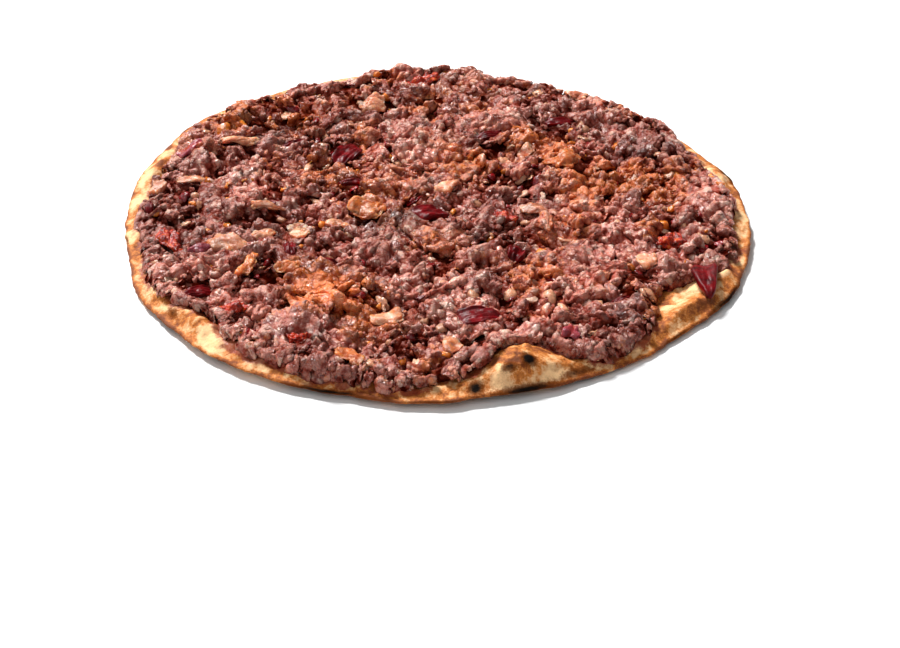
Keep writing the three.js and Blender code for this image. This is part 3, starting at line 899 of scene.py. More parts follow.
def lumpy_caps(axes, side, nodule, rng, seed, big_lump=0.0, rough=1.0, square=1.0):
    """Caps of flattened balls with these half axes, each from its top to a little past its widest.

    Each has a wavy outline, squarer where square is under 1. Along the ball's normal, its surface is pushed
    out by rounded lumps, scaled by rough: fine ones as wide as a nodule, longer than wide, coarse ones below
    them, each with its own height, and below both big ones of the width big_lump, if that isn't 0. Gives the
    caps' points, and how far each stands in from the creases between coarse and between fine lumps.
    """
    count = len(axes)
    radius, azimuth = (values.ravel() for values in disc_grid(side))
    polar = radius * CAP_ANGLE
    aside = squarer(np.cos(azimuth), square), squarer(np.sin(azimuth), square)
    unit = flat_points(np.sin(polar) * aside[0], np.sin(polar) * aside[1], squarer(np.cos(polar), 0.7))
    offset = rng.uniform(0, 900, (count, 1, 3))
    outline = 1 + 0.32 * rough_noise(unit * (0.8, 0.8, 0.25) + offset, 0.62, seed, 2)
    body = unit * outline[..., None] * axes[:, None]
    out = unit / axes[:, None]
    out /= np.linalg.norm(out, axis=-1, keepdims=True)
    grain = np.einsum("nij,nvj->nvi", random_turns(count, 90, rng), body) * (0.78, 1.0, 0.9) + offset
    bend = [rough_noise(grain, 1.4 * nodule, seed + more, 2) for more in (3, 5, 7)]
    warped = grain + 0.5 * nodule * np.stack(bend, -1)
    fine, own = lumps(warped, nodule, seed + 11, 0.7)
    coarse, level = lumps(warped, COARSE_LUMP * nodule, seed + 9, 0.6)
    push = nodule * (0.58 * fine + 0.35 * (own - 0.5) + 0.9 * coarse + 0.7 * (level - 0.5) - 1.03)
    if big_lump:
        big, level = lumps(warped, big_lump, seed + 13)
        push = push + big_lump * (0.2 * big + 0.16 * (level - 0.5) - 0.1)
    return body + out * (rough * push)[..., None], coarse, fine


def pressed_down(x, y, z):
    """z held under a cone that stands upside down at each topping, so that the topping shows.

    The cone's tip is flat and a little below the topping's middle, and slopes as the topping does.
    """
    for fit in TOPPING_FITS.values():
        away = flat_points(x, y)[..., :2] - fit["middle"][:2]
        local = away @ fit["turn"] / fit["size"][:2] * 2
        past_tip = np.clip(np.hypot(local[..., 0], local[..., 1]) - CLEAR_SHARE, 0, None)
        beyond = past_tip * fit["size"][:2].mean() / 2
        under = fit["middle"][2] + away @ fit["slope"] - 0.15 * fit["size"][2]
        z = np.minimum(z, under + CLEAR_SLOPE * beyond)
    return z


def drawn_in(x, y):
    """Places moved in towards a ragged line a little past the meat's edge, and how far past it they were."""
    azimuth, out = np.arctan2(y, x), np.hypot(x, y)
    beyond = np.clip(out - meat_radius(azimuth) - 1.8 * rough_noise(rim_spot(azimuth), 3.4, 65, 2), 0, None)
    share = 1 - 0.8 * beyond / np.maximum(out, 1)
    return x * share, y * share, beyond


def laid_on_heap(shapes, places, turns, lift, marks, rng, pressed=True):
    """Turns caps, lays them on the heap and closes them below. Gives points, faces, and marks for a finish.

    A cap's height is added to the heap's top, with its own top at about lift, and what stands above that is
    lower towards the meat's edge. Its points stay over the dough and, where pressed, under the toppings.
    """
    coarse, fine = marks
    count, side = len(shapes), round(math.sqrt(shapes.shape[1]))
    turned = np.einsum("nij,nvj->nvi", turns, shapes)
    x, y = turned[..., 0] + places[:, 0, None], turned[..., 1] + places[:, 1, None]
    x, y, beyond = drawn_in(x, y)
    raised = turned[..., 2] - np.quantile(turned[..., 2], HIGH_SHARE, axis=1)[:, None] + lift[:, None]
    inwards = meat_radius(np.arctan2(y, x)) - np.hypot(x, y)
    held = np.where(raised > 0, 0.5 + 0.5 * smoothstep(inwards / 11), 1)
    z = meat_top(x, y) + held * raised - 1.5 * beyond
    if pressed:
        z = pressed_down(x, y, z)
    edge = smoothstep((disc_grid(side)[0].ravel() - 0.75) / 0.25)
    z = np.maximum(z, dough_top(x, y) + LEAST_ABOVE_DOUGH + 0.4 * coarse - 1.1 * edge)
    # rise is high on a cap's top and low in the creases between its lumps and where it lies low; the meat and
    # onion finishes paint shade where it is low and a highlight where it is high.
    height = np.clip((raised + 4.0) / 6.4, 0, 1)
    rise = np.clip(0.34 * fine + 0.26 * coarse + 0.40 * height, 0, 1)
    rim = fringe(side)
    base = flat_points(*places.T, z[:, rim].mean(1))[:, None]
    points = np.concatenate([flat_points(x, y, z), base], axis=1)
    under = np.stack([np.roll(rim, -1), rim, np.full_like(rim, side * side)], -1)
    faces = np.concatenate([grid_faces(side), under])
    all_faces = (faces[None] + (np.arange(count) * points.shape[1])[:, None, None]).reshape(-1, 3)
    if len(all_faces) > MOST_TRIANGLES:
        raise RuntimeError(f"{len(all_faces)} triangles in one piece: space its places further apart")
    tone = rng.uniform(0, 1, count)[:, None] + 0 * rise
    attributes = {"rise": rise, "tone": tone, "brown": browning(x, y), "light": light_and_shade(x, y)}
    attributes = {key: np.pad(values, ((0, 0), (0, 1))).ravel() for key, values in attributes.items()}
    return points.reshape(-1, 3), all_faces, attributes


def mince(places, width, thick, side, nodule, lift, tilt, rng, seed, **looks):
    """Lumpy caps of these widths and thicknesses, each longer than wide, laid on the heap at any turn."""
    count = len(places)
    length = width / 2 * rng.uniform(0.95, 1.35, count)
    breadth = width / 2 * rng.uniform(0.72, 1, count)
    axes = flat_points(length, breadth, thick / 2)
    shapes, *marks = lumpy_caps(axes, side, nodule, rng, seed, **looks)
    return laid_on_heap(shapes, places, random_turns(count, tilt, rng), lift, marks, rng)


def lattice_places(spacing, margin, rng, clear, jitter):
    """Places at least a margin inside the meat's edge, on a triangular lattice, each moved at random.

    Those within clear times a topping's own outline are left out, so that the topping shows.
    """
    steps = np.arange(-math.ceil(HEAP_REACH / spacing), math.ceil(HEAP_REACH / spacing) + 1)
    i, j = np.meshgrid(steps, np.arange(-200, 201), indexing="ij")
    x = spacing * (i + 0.5 * (j % 2))
    y = spacing * math.sqrt(0.75) * j
    near = np.hypot(x, y) < HEAP_REACH
    place = np.stack([x[near], y[near]], -1)
    place += rng.uniform(-jitter, jitter, place.shape) * spacing
    azimuth = np.arctan2(place[:, 1], place[:, 0])
    place = place[np.hypot(*place.T) < meat_radius(azimuth) - margin]
    for fit in TOPPING_FITS.values():
        local = (place - fit["middle"][:2]) @ fit["turn"]
        place = place[np.hypot(local[:, 0] / fit["size"][0], local[:, 1] / fit["size"][1]) * 2 > clear]
    return place


# Browned places of the heap: azimuth, distance from the centre, size, strength, negative where mauve.
BROWNED_PLACES = (
    (73, 46, 14, 0.8),
    (47, 75, 17, 1.2),
    (16, 72, 14, 1.0),
    (13, 92, 16, 1.3),
    (12, 110, 13, 1.1),
    (18, 130, 9, 1.0),
    (240, 82, 17, 1.6),
    (254, 94, 11, 0.8),
    (274, 58, 15, 0.7),
    (305, 74, 16, 0.9),
    (349, 99, 9, 1.2),
    (320, 124, 9, 0.8),
    (128, 104, 11, 0.8),
    (142, 121, 7, 1.3),
    (188, 70, 26, -0.8),
    (171, 119, 18, -0.7),
    (340, 100, 20, -0.9),
    (58, 104, 18, -0.7),
    (205, 112, 16, -0.5),
    (100, 60, 20, -0.5),
    (290, 104, 18, -0.6),
)
# Places of the heap painted lighter, for the light that falls there, in the same way; negative where painted
# darker, for the shade in hollows.
LIGHT_AND_SHADE_PLACES = (
    (168, 84, 12, 0.8),
    (188, 59, 11, 0.6),
    (99, 47, 12, 0.3),
    (56, 45, 11, 0.5),
    (346, 57, 13, 0.8),
    (319, 101, 10, 0.4),
    (148, 28, 10, 0.5),
    (354, 78, 15, 0.3),
    (337, 98, 16, 0.7),
    (240, 82, 14, 1.5),
    (286, 82, 13, 0.7),
    (130, 104, 10, -0.6),
    (95, 106, 12, -0.7),
    (240, 9, 10, -0.6),
    (47, 100, 9, -0.7),
    (30, 106, 11, -0.8),
    (171, 117, 11, -0.5),
    (207, 66, 16, -0.6),
    (205, 26, 15, -0.8),
    (198, 108, 12, -0.5),
    (80, 103, 14, -0.8),
    (107, 100, 11, -0.5),
    (327, 74, 9, -0.4),
    (247, 122, 11, -0.7),
    (226, 122, 9, -0.5),
    (307, 126, 10, -0.6),
    (225, 100, 10, -0.5),
    (262, 112, 9, -0.5),
)


def place_field(x, y, places, wide, narrow, seed):
    """Two soft noises, wide and narrow in mm, plus a bell curve of its own strength on each place."""
    spot = flat_points(x, y)
    field = 0.5 * soft_noise(spot, wide, seed) + 0.35 * soft_noise(spot, narrow, seed + 2)
    for at, out, spread, strength in places:
        field = field + strength * bell(distance_to(x, y, at, out) / spread)
    return field


def browning(x, y):
    """How browned the heap is at a place."""
    return place_field(x, y, BROWNED_PLACES, 31, 11, 81)


def light_and_shade(x, y):
    """The painted light at a place of the heap, negative where it is painted shade."""
    return place_field(x, y, LIGHT_AND_SHADE_PLACES, 26, 10, 85)


def redness(place):
    """How pink the heap is at a place."""
    spot = flat_points(place[:, 0], place[:, 1])
    return soft_noise(spot, 27, 91) + 0.6 * soft_noise(spot, 11, 93)


def meat_finish(name, colour, colours, dark=1.0):
    """Cooked mince: rounded nodules, each with its own colour, with painted shade, dark and red as wet mince
    is, in the creases between them and where the mince lies low.

    They are paler on top, which is a painted highlight, lighter or darker over whole places by painted light
    and shade, moist and gritty, and browned or oily in places. Where the painted shade is deepest the surface
    is matte.
    """
    finish = Finish(
        name,
        subsurface_weight=0.25,
        subsurface_scale=0.002,
        subsurface_radius=(1.0, 0.3, 0.15),
        specular_ior_level=0.5,
    )
    rise, tone, brown, light = (finish.attribute(key) for key in ("rise", "tone", "brown", "light"))
    grit = finish.noise(0.45, 3, 0.7)
    lump = finish.noise(2.6, 3, 0.6)
    place = finish.bent(1.5, 0.95)
    away, own = finish.cells(NODULE, place)
    small, _ = finish.cells(0.5 * NODULE, place)
    nodule = 1 - away * away * 1.5
    # level is low in the creases between nodules and lumps and where the mince lies low, and high on tops;
    # the colours below paint shade where it is low and a highlight where it is high.
    level = rise * 0.8 + nodule * 0.28 + (grit - 0.5) * 0.26 + (lump - 0.5) * 0.3 + light * 0.08 - 0.12
    varied = finish.ramp(
        own,
        [
            (0.06, shade(colours.mauve_meat, 0.45)),
            (0.20, colours.mauve_meat),
            (0.42, colours.pink_meat),
            (0.62, shade(colours.mauve_meat, 1.25)),
            (0.80, shade(colours.pink_meat, 0.8)),
            (0.90, colours.fat),
        ],
    )
    gritty = finish.step(finish.noise(7.0, 2, 0.5), 0.36, 0.60)
    hue = finish.mix(0.4 - gritty * 0.2, varied, colour)
    browned = finish.step(brown + (lump - 0.5) * 1.1 + (own - 0.5) * 0.8 + (tone - 0.5) * 0.3, 0.2, 0.85)
    hue = finish.mix(browned * 0.92, hue, colours.browned_meat)
    # Painted shade: the creases and low places are painted dark red, partly the juices of wet mince and
    # partly the shade that falls there.
    soaked = finish.mix(0.78, hue, colours.juices)
    low = finish.mix(finish.step(level, 0.12, 0.46), colours.crevice_shade, soaked)
    body = finish.mix(finish.step(level, 0.38, 0.72), low, hue)
    # Painted highlight: the tops are painted paler, towards the fat colour, more so where the heap is painted
    # lit.
    painted_highlight = finish.step(level + (tone - 0.5) * 0.2, 0.66, 0.98)
    painted_highlight = painted_highlight * (0.45 + light * 0.5) * (1 - browned * 0.6)
    body = finish.mix(painted_highlight, body, colours.fat)
    oil = finish.step(finish.noise(3.2, 2, 0.5), 0.60, 0.68) * finish.step(level, 0.2, 0.5)
    oily = oil * (0.15 + browned * 0.85)
    body = finish.mix(oily * 0.8, body, colours.golden_bits)
    wet = finish.step(finish.noise(1.8, 3, 0.6), 0.40, 0.56)
    relief = (nodule + (1 - small * small) * 0.5) * (0.35 + gritty * 0.6) + grit * 0.3
    # Painted light and shade: whole places of the heap are made lighter or darker by the light mark, and each
    # piece by its own random tone.
    body = finish.mix(1.0, body, dark * (0.66 + tone * 0.26 + light * 0.36), "MULTIPLY")
    # Matte where the painted shade is, so that no reflection lightens it.
    finish.matte_where_low(finish.step(level, 0.22, 0.60), body)
    return finish.feed(
        base_color=body,
        roughness=0.56 - wet * 0.34,
        normal=finish.bump(relief, 1.05),
    )


# ---------------------------------------------------------------------------------------------------------
# The toppings
# ---------------------------------------------------------------------------------------------------------

# The share of its width that a pepper loses from its inner end to its outer end.
TAPERS = {"pepper_1": 0.68}
USUAL_TAPER = 0.35
SHEET_COLUMNS = 44
SHEET_ROWS = 26
LUMP_SIDE = 34
# The onions' numbers by look; the others are translucent.
ONION_LOOKS = {"golden": (2, 3, 13, 18, 22), "pale": (5, 7, 12, 14, 15, 16, 20, 21), "red": (10, 11, 19)}


def fit_to_node(node):
    """How a CAD topping lies: its middle, its turn in plan, its slope, and its size along, across and up.

    The turn is the direction in which its points spread most, away from the bread's centre. The slope is that
    of the plane that fits them best.
    """
    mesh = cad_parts[node].data
    co = np.empty(len(mesh.vertices) * 3)
    mesh.vertices.foreach_get("co", co)
    co = np.unique(np.round(co.reshape(-1, 3) / MM, 4), axis=0) - SHIFT
    middle = (co.min(0) + co.max(0)) / 2
    around = co - co.mean(0)
    _, axes = np.linalg.eigh(around[:, :2].T @ around[:, :2])
    along = axes[:, 1] * (1 if axes[:, 1] @ middle[:2] > 0 else -1)
    turn = np.stack([along, [-along[1], along[0]]], -1)
    slope = np.linalg.lstsq(around[:, :2], around[:, 2], rcond=None)[0]
    local = (co - middle)[:, :2] @ turn
    rest = around[:, 2] - around[:, :2] @ slope
    middle = middle + np.append(turn @ ((local.min(0) + local.max(0)) / 2), 0)
    size = np.append(np.ptp(local, axis=0), np.ptp(rest))
    return {"middle": middle, "turn": turn, "slope": slope, "size": size}


def toppings_named(kind):
    """The CAD nodes of one kind, in the order of their numbers."""
    names = [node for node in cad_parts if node.rpartition("_")[0] == kind]
    return sorted(names, key=lambda node: int(node.rpartition("_")[2]))


TOPPINGS = [node for kind in ("pepper", "tomato", "onion") for node in toppings_named(kind)]
TOPPING_FITS = {node: fit_to_node(node) for node in TOPPINGS}


def pepper_form(u, v, w, size, taper, rng):
    """A limp sheet of pepper: squarish and ragged, narrower outwards, with curled edges and long wrinkles.

    The sides curl up with the square of the place across, and the ends down with that of the place along. The
    wrinkles are a noise stretched along the sheet, less where it tapers much.
    """
    length, width, thick = size
    offset = rng.uniform(0, 900, 3)
    ragged = 1 + 0.22 * rough_noise(flat_points(u, v) * 0.9 + offset, 0.6, 101, 2)
    x = squarer(u, 0.8) * ragged
    y = squarer(v, 0.75) * ragged * (1 - taper * (u + 1) / 2)
    wrinkle = rough_noise(flat_points(0.9 * x, 2.6 * y) + offset, 0.8, 103, 3)
    curl = 0.16 * width * y * y - 0.05 * length * x * x
    z = squarer(w, 0.8) * thick * 0.42 + curl + (0.48 - 0.51 * taper) * np.clip(thick, 1.6, 3.5) * wrinkle
    return flat_points(x * length / 2, y * width / 2, z)


def sheet_surface(node, seed):
    """A ball's points moved by pepper_form to the CAD topping's size, then turned and sloped as it is."""
    fit = TOPPING_FITS[node]
    taper = TAPERS.get(node, USUAL_TAPER)
    u, v, w = ball_directions(SHEET_COLUMNS, SHEET_ROWS).T
    local = pepper_form(u, v, w, fit["size"], taper, np.random.default_rng(seed))
    plan = local[:, :2] @ fit["turn"].T
    height = local[:, 2] + plan @ fit["slope"]
    points = np.column_stack([plan, height]) + fit["middle"]
    return points, capped_faces(SHEET_ROWS - 1, SHEET_COLUMNS), {"edge": 1 - np.abs(w)}


def lump_surface(node, seed, nodule, rough, thinner=1.0, square=1.0):
    """A lumpy cap as long and wide as the CAD topping, turned as it is, with its top as high."""
    fit = TOPPING_FITS[node]
    rng = np.random.default_rng(seed)
    length, width, thick = fit["size"]
    axes = np.array([[length, width, thinner * thick]]) / 2
    shapes, *marks = lumpy_caps(axes, LUMP_SIDE, nodule, rng, seed, rough=rough, square=square)
    turn = np.eye(3)[None].copy()
    turn[0, :2, :2] = fit["turn"]
    place = fit["middle"][None, :2]
    lift = fit["middle"][2] + thick / 2 - meat_top(*place.T)
    return laid_on_heap(shapes, place, turn, lift, marks, rng, pressed=False)


def pepper_finish(colours):
    """Dark glossy skin, mottled from nearly black to bright red by a noise, brighter and paler along torn
    edges.
    """
    finish = Finish(
        "pepper",
        subsurface_weight=0.15,
        subsurface_scale=0.002,
        subsurface_radius=(1.0, 0.1, 0.1),
        specular_ior_level=0.14,
    )
    edge = finish.attribute("edge")
    blotch = finish.noise(3.6, 2, 0.5)
    colour = finish.ramp(
        blotch,
        [
            (0.32, shade(colours.pepper, 0.3)),
            (0.48, shade(colours.pepper, 0.65)),
            (0.64, colours.pepper),
            (0.80, shade(colours.pepper, 1.7)),
        ],
    )
    torn = finish.step(edge + (blotch - 0.5) * 0.7, 0.95, 1.15)
    colour = finish.mix(torn * 0.55, colour, shade(colours.tomato, 0.9))
    relief = finish.noise(0.9, 3, 0.6) * 0.4 + finish.noise(3.4, 2, 0.5)
    return finish.feed(
        base_color=colour,
        roughness=0.22 + finish.noise(2.0) * 0.3,
        normal=finish.bump(relief, 0.3),
    )


def tomato_finish(colours):
    """Wet orange red flesh, darker and yellower in blotches of a noise."""
    finish = Finish(
        "tomato",
        subsurface_weight=0.2,
        subsurface_scale=0.003,
        subsurface_radius=(1.0, 0.2, 0.08),
    )
    blotch = finish.noise(2.4, 4, 0.65)
    colour = finish.ramp(
        blotch,
        [
            (0.34, shade(colours.juices, 0.5)),
            (0.46, shade(colours.tomato, 0.55)),
            (0.56, colours.tomato),
            (0.70, colours.golden_bits),
        ],
    )
    relief = finish.noise(0.8, 4, 0.65) + finish.noise(2.2, 2) * 0.8
    return finish.feed(
        base_color=colour,
        roughness=0.12 + finish.noise(1.6) * 0.24,
        normal=finish.bump(relief, 0.8),
    )


def onion_finish(name, colour, colours):
    """Translucent cooked onion: veins, stains and golden places, red and matte low down, partly juice stain
    and partly painted shade, paler on top as a painted highlight, and wet on top.
    """
    finish = Finish(
        name,
        subsurface_weight=0.9,
        subsurface_scale=0.004,
        subsurface_radius=(1.0, 0.55, 0.35),
        specular_ior_level=0.35,
    )
    rise = finish.attribute("rise")
    blotch = finish.noise(3.6, 4, 0.6)
    veins = finish.noise(1.1, 2, 0.5, (0.35, 1.0, 1.0))
    level = rise + (blotch - 0.5) * 0.7
    share = finish.step(finish.noise(8.0, 2) + (veins - 0.5) * 0.16, 0.36, 0.62)
    body = finish.mix(share, shade(colour, 0.66), shade(colour, 1.15))
    body = finish.mix(finish.step(finish.noise(5.0, 3), 0.54, 0.64) * 0.5, body, colours.golden_bits)
    # Dark red low down and in the creases: partly juice stain and partly painted shade. It is matte there, so
    # that no reflection lightens it.
    body = finish.mix(finish.step(level, 0.35, 0.95), finish.mix(0.7, body, colours.juices), body)
    # Painted highlight: paler towards the fat colour on top.
    body = finish.mix(finish.step(level, 0.85, 1.15) * 0.5, body, colours.fat)
    relief = finish.noise(1.0, 4, 0.6) * 0.6 + finish.noise(3.0, 2) * 0.8 + veins * 0.3
    finish.matte_where_low(finish.step(level, 0.3, 0.75), body)
    return finish.feed(
        base_color=body,
        roughness=0.14 + finish.noise(2.2) * 0.24,
        normal=finish.bump(relief, 0.55),
    )


# ---------------------------------------------------------------------------------------------------------
# Small bits strewn in the meat
# ---------------------------------------------------------------------------------------------------------

# Kinds of bit: how far apart they lie, their width, thickness to width, and tilt in degrees.
BITS = {
    "fat_bits": (26.0, 2.8, 0.6, 30),
    "golden_bits": (22.0, 3.4, 0.6, 30),
    "pepper_bits": (23.0, 4.0, 0.35, 35),
    "onion_bits": (19.0, 5.0, 0.5, 30),
    "onion_flakes": (38.0, 5.0, 0.2, 50),
}
BIT_SIDE = 7
# Golden bits that stand out: azimuth, distance from the centre, width.
GOLDEN_SPOTS = (
    (145, 120, 8.0),
    (141, 116, 6.0),
    (103, 130, 6.0),
    (12, 135, 9.5),
    (8, 133, 7.0),
    (0, 108, 4.5),
    (167, 96, 4.0),
    (163, 90, 3.0),
    (190, 92, 4.5),
)
GOLDEN_LIFT = 2.2
BIT_ROUGHNESS = 0.6
BIT_MARGIN = 4
BIT_NODULE = 2.4


def bit_finish(name, colour, gloss):
    """One colour, varied from bit to bit and over each, with a moist surface."""
    finish = Finish(name, subsurface_weight=0.35, subsurface_scale=0.003, subsurface_radius=(1.0, 0.5, 0.3))
    tone = finish.attribute("tone")
    share = finish.step(finish.noise(1.6, 3) + (tone - 0.5) * 0.6, 0.25, 0.75)
    body = finish.mix(share, shade(colour, 0.62), shade(colour, 1.15))
    return finish.feed(
        base_color=body,
        roughness=0.5 - gloss,
        normal=finish.bump(finish.noise(0.8, 3), 0.4),
    )


# ---------------------------------------------------------------------------------------------------------
# Operators
# ---------------------------------------------------------------------------------------------------------


class AddBread(bpy.types.Operator):
    """Adds the flatbread with its blistered, toasted rim"""

    bl_idname = "lahmacun.add_bread"
    bl_label = "Bread"

    def execute(self, context):
        points, faces, depth, above = bread_surface()
        marks = bread_marks(points, depth, above)
        finish = dough_finish(context.scene.lahmacun_colours)
        make_piece("flatbread", points, faces, finish, "dough", ["bread"], **marks)
        return {"FINISHED"}


class AddMeatCore(bpy.types.Operator):
    """Adds the closed core of the meat, which shows between the patches"""

    bl_idname = "lahmacun.add_meat_core"
    bl_label = "Meat core"

    def execute(self, context):
        colours = context.scene.lahmacun_colours
        points, faces, rise = core_surface()
        # Painted shade: the core is painted darker than the patches, for the shade in the gaps between them.
        finish = meat_finish("meat_core", colours.pink_meat, colours, dark=0.75)
        x, y = points.T[:2]
        marks = {
            "rise": 0.1 + 0.75 * rise,
            "brown": browning(x, y),
            "light": light_and_shade(x, y),
            "tone": np.full_like(rise, 0.5),
        }
        make_piece("meat_core", points, faces, finish, "meat", ["meat"], **marks)
        return {"FINISHED"}


def by_look(places, colours):
    """Splits places among the mince's looks: the most browned ones, and of the rest the pinker half."""
    brown = np.argsort(np.argsort(browning(*places.T))) >= (1 - BROWNED_SHARE) * len(places)
    pink = ~brown & (redness(places) > np.median(redness(places)[~brown]))
    looks = (("mauve", ~brown & ~pink, colours.mauve_meat), ("pink", pink, colours.pink_meat))
    return (*looks, ("browned", brown, colours.browned_meat))


def add_mince(name, caps, colour, colours):
    """Makes one piece of caps, given as their points, faces and attributes, with this colour's finish."""
    points, faces, attributes = caps
    make_piece(name, points, faces, meat_finish(name, colour, colours), "meat", **attributes)


class AddMeatPatches(bpy.types.Operator):
    """Adds the fused patches of mince, mauve, pink and browned, that make up the heap"""

    bl_idname = "lahmacun.add_meat_patches"
    bl_label = "Meat patches"

    def execute(self, context):
        sizes, colours = context.scene.lahmacun_sizes, context.scene.lahmacun_colours
        rng = np.random.default_rng(141)
        places = lattice_places(sizes.patch_spacing / MM, PATCH_MARGIN, rng, 0.0, 0.36)
        nodule = sizes.lump_width / MM
        for seed, (look, chosen, colour) in enumerate(by_look(places, colours)):
            here = places[chosen]
            width = sizes.patch_width / MM * rng.lognormal(0, 0.16, len(here))
            thick = sizes.patch_thickness / MM * rng.uniform(0.8, 1.25, len(here))
            lift = rng.uniform(-1.8, 2.0, len(here)) + 1.3 * light_and_shade(*here.T)
            shape = (here, width, thick, PATCH_SIDE, nodule)
            caps = mince(*shape, lift, PATCH_TILT, rng, 200 + 20 * seed, big_lump=BIG_LUMP)
            add_mince(look + "_patches", caps, colour, colours)
        return {"FINISHED"}


class AddMeatClumps(bpy.types.Operator):
    """Adds the clumps of mince that lie on the patches and at the heap's edge"""

    bl_idname = "lahmacun.add_meat_clumps"
    bl_label = "Meat clumps"

    def execute(self, context):
        sizes, colours = context.scene.lahmacun_sizes, context.scene.lahmacun_colours
        rng = np.random.default_rng(145)
        places = lattice_places(sizes.clump_spacing / MM, CLUMP_MARGIN, rng, 0.95, 0.45)
        nodule = 0.85 * sizes.lump_width / MM
        for seed, (look, chosen, colour) in enumerate(by_look(places, colours)):
            here = places[chosen]
            width = sizes.clump_width / MM * rng.lognormal(0, 0.25, len(here))
            lift = rng.uniform(-0.6, 3.6, len(here))
            shape = (here, width, 0.72 * width, CLUMP_SIDE, nodule)
            caps = mince(*shape, lift, CLUMP_TILT, rng, 300 + 20 * seed)
            add_mince(look + "_clumps", caps, colour, colours)
        return {"FINISHED"}


class AddMeatFringe(bpy.types.Operator):
    """Adds the smaller clumps along the ragged edge of the heap"""

    bl_idname = "lahmacun.add_meat_fringe"
    bl_label = "Meat fringe"

    def execute(self, context):
        sizes, colours = context.scene.lahmacun_sizes, context.scene.lahmacun_colours
        rng = np.random.default_rng(149)
        azimuth = np.linspace(0, 2 * math.pi, FRINGE_CLUMPS, endpoint=False)
        azimuth += rng.uniform(-0.02, 0.02, FRINGE_CLUMPS)
        out = meat_radius(azimuth) - rng.uniform(-1.0, 5.5, FRINGE_CLUMPS)
        places = flat_points(out * np.cos(azimuth), out * np.sin(azimuth))[:, :2]
        width = 0.72 * sizes.clump_width / MM * rng.lognormal(0, 0.3, FRINGE_CLUMPS)
        lift = rng.uniform(0.2, 3.2, FRINGE_CLUMPS)
        shape = (places, width, 0.7 * width, FRINGE_SIDE, 0.8 * sizes.lump_width / MM)
        points, faces, attributes = mince(*shape, lift, FRINGE_TILT, rng, 380)
        finish = meat_finish("fringe", colours.pink_meat, colours)
        make_piece("fringe_clumps", points, faces, finish, "meat", **attributes)
        return {"FINISHED"}


class AddMeatCrumbs(bpy.types.Operator):
    """Adds the loose crumbs and the smallest grains of mince"""

    bl_idname = "lahmacun.add_meat_crumbs"
    bl_label = "Meat crumbs"

    def execute(self, context):
        sizes, colours = context.scene.lahmacun_sizes, context.scene.lahmacun_colours
        rng = np.random.default_rng(151)
        kinds = {
            "crumbs": (sizes.crumb_spacing, sizes.crumb_width, CRUMB_SIDE, colours.mauve_meat),
            "grains": (sizes.grain_spacing, sizes.grain_width, GRAIN_SIDE, colours.pink_meat),
        }
        nodule = 0.5 * sizes.lump_width / MM
        for seed, (name, (spacing, width, side, colour)) in enumerate(kinds.items()):
            places = lattice_places(spacing / MM, CRUMB_MARGIN, rng, 1.0, 0.5)
            widths = width / MM * rng.lognormal(0, 0.3, len(places))
            lift = rng.uniform(-0.2, 2.2, len(places))
            shape = (places, widths, 0.8 * widths, side, nodule)
            caps = mince(*shape, lift, CRUMB_TILT, rng, 400 + 20 * seed, rough=0.8)
            add_mince(name, caps, colour, colours)
        return {"FINISHED"}


def add_toppings(kind, surface, finish_of):
    """Makes a piece for each CAD topping of a kind."""
    for number, node in enumerate(toppings_named(kind)):
        points, faces, attributes = surface(node, 160 + number)
        make_piece(node + "_piece", points, faces, finish_of(node), kind, [node], **attributes)


class AddPeppers(bpy.types.Operator):
    """Adds the pieces of roasted red pepper"""

    bl_idname = "lahmacun.add_peppers"
    bl_label = "Pepper"

    def execute(self, context):
        finish = pepper_finish(context.scene.lahmacun_colours)
        add_toppings("pepper", sheet_surface, lambda node: finish)
        return {"FINISHED"}


class AddTomatoes(bpy.types.Operator):
    """Adds the pieces of cooked tomato"""

    bl_idname = "lahmacun.add_tomatoes"
    bl_label = "Tomato"

    def execute(self, context):
        finish = tomato_finish(context.scene.lahmacun_colours)
        add_toppings("tomato", lambda node, seed: lump_surface(node, seed, 3.0, 1.0), lambda node: finish)
        return {"FINISHED"}


class AddOnions(bpy.types.Operator):
    """Adds the pieces of cooked onion, a few of them red onion"""

    bl_idname = "lahmacun.add_onions"
    bl_label = "Onion"

    def execute(self, context):
        colours = context.scene.lahmacun_colours
        paints = {
            "golden": mixed(colours.onion, colours.golden_bits, 0.6),
            "pale": shade(colours.onion, 1.25),
            "red": colours.red_onion,
        }
        finishes = {look: onion_finish(look + "_onion", colour, colours) for look, colour in paints.items()}
        finishes["plain"] = onion_finish("onion", colours.onion, colours)
        looks = {f"onion_{number}": look for look, numbers in ONION_LOOKS.items() for number in numbers}

        def surface(node, seed):
            """The node's lumpy cap, more knobbly where it is golden."""
            nodule, rough = (4.2, 0.45) if looks.get(node) == "golden" else (5.0, 0.32)
            return lump_surface(node, seed, nodule, rough, 0.75, 0.72)

        add_toppings("onion", surface, lambda node: finishes[looks.get(node, "plain")])
        return {"FINISHED"}


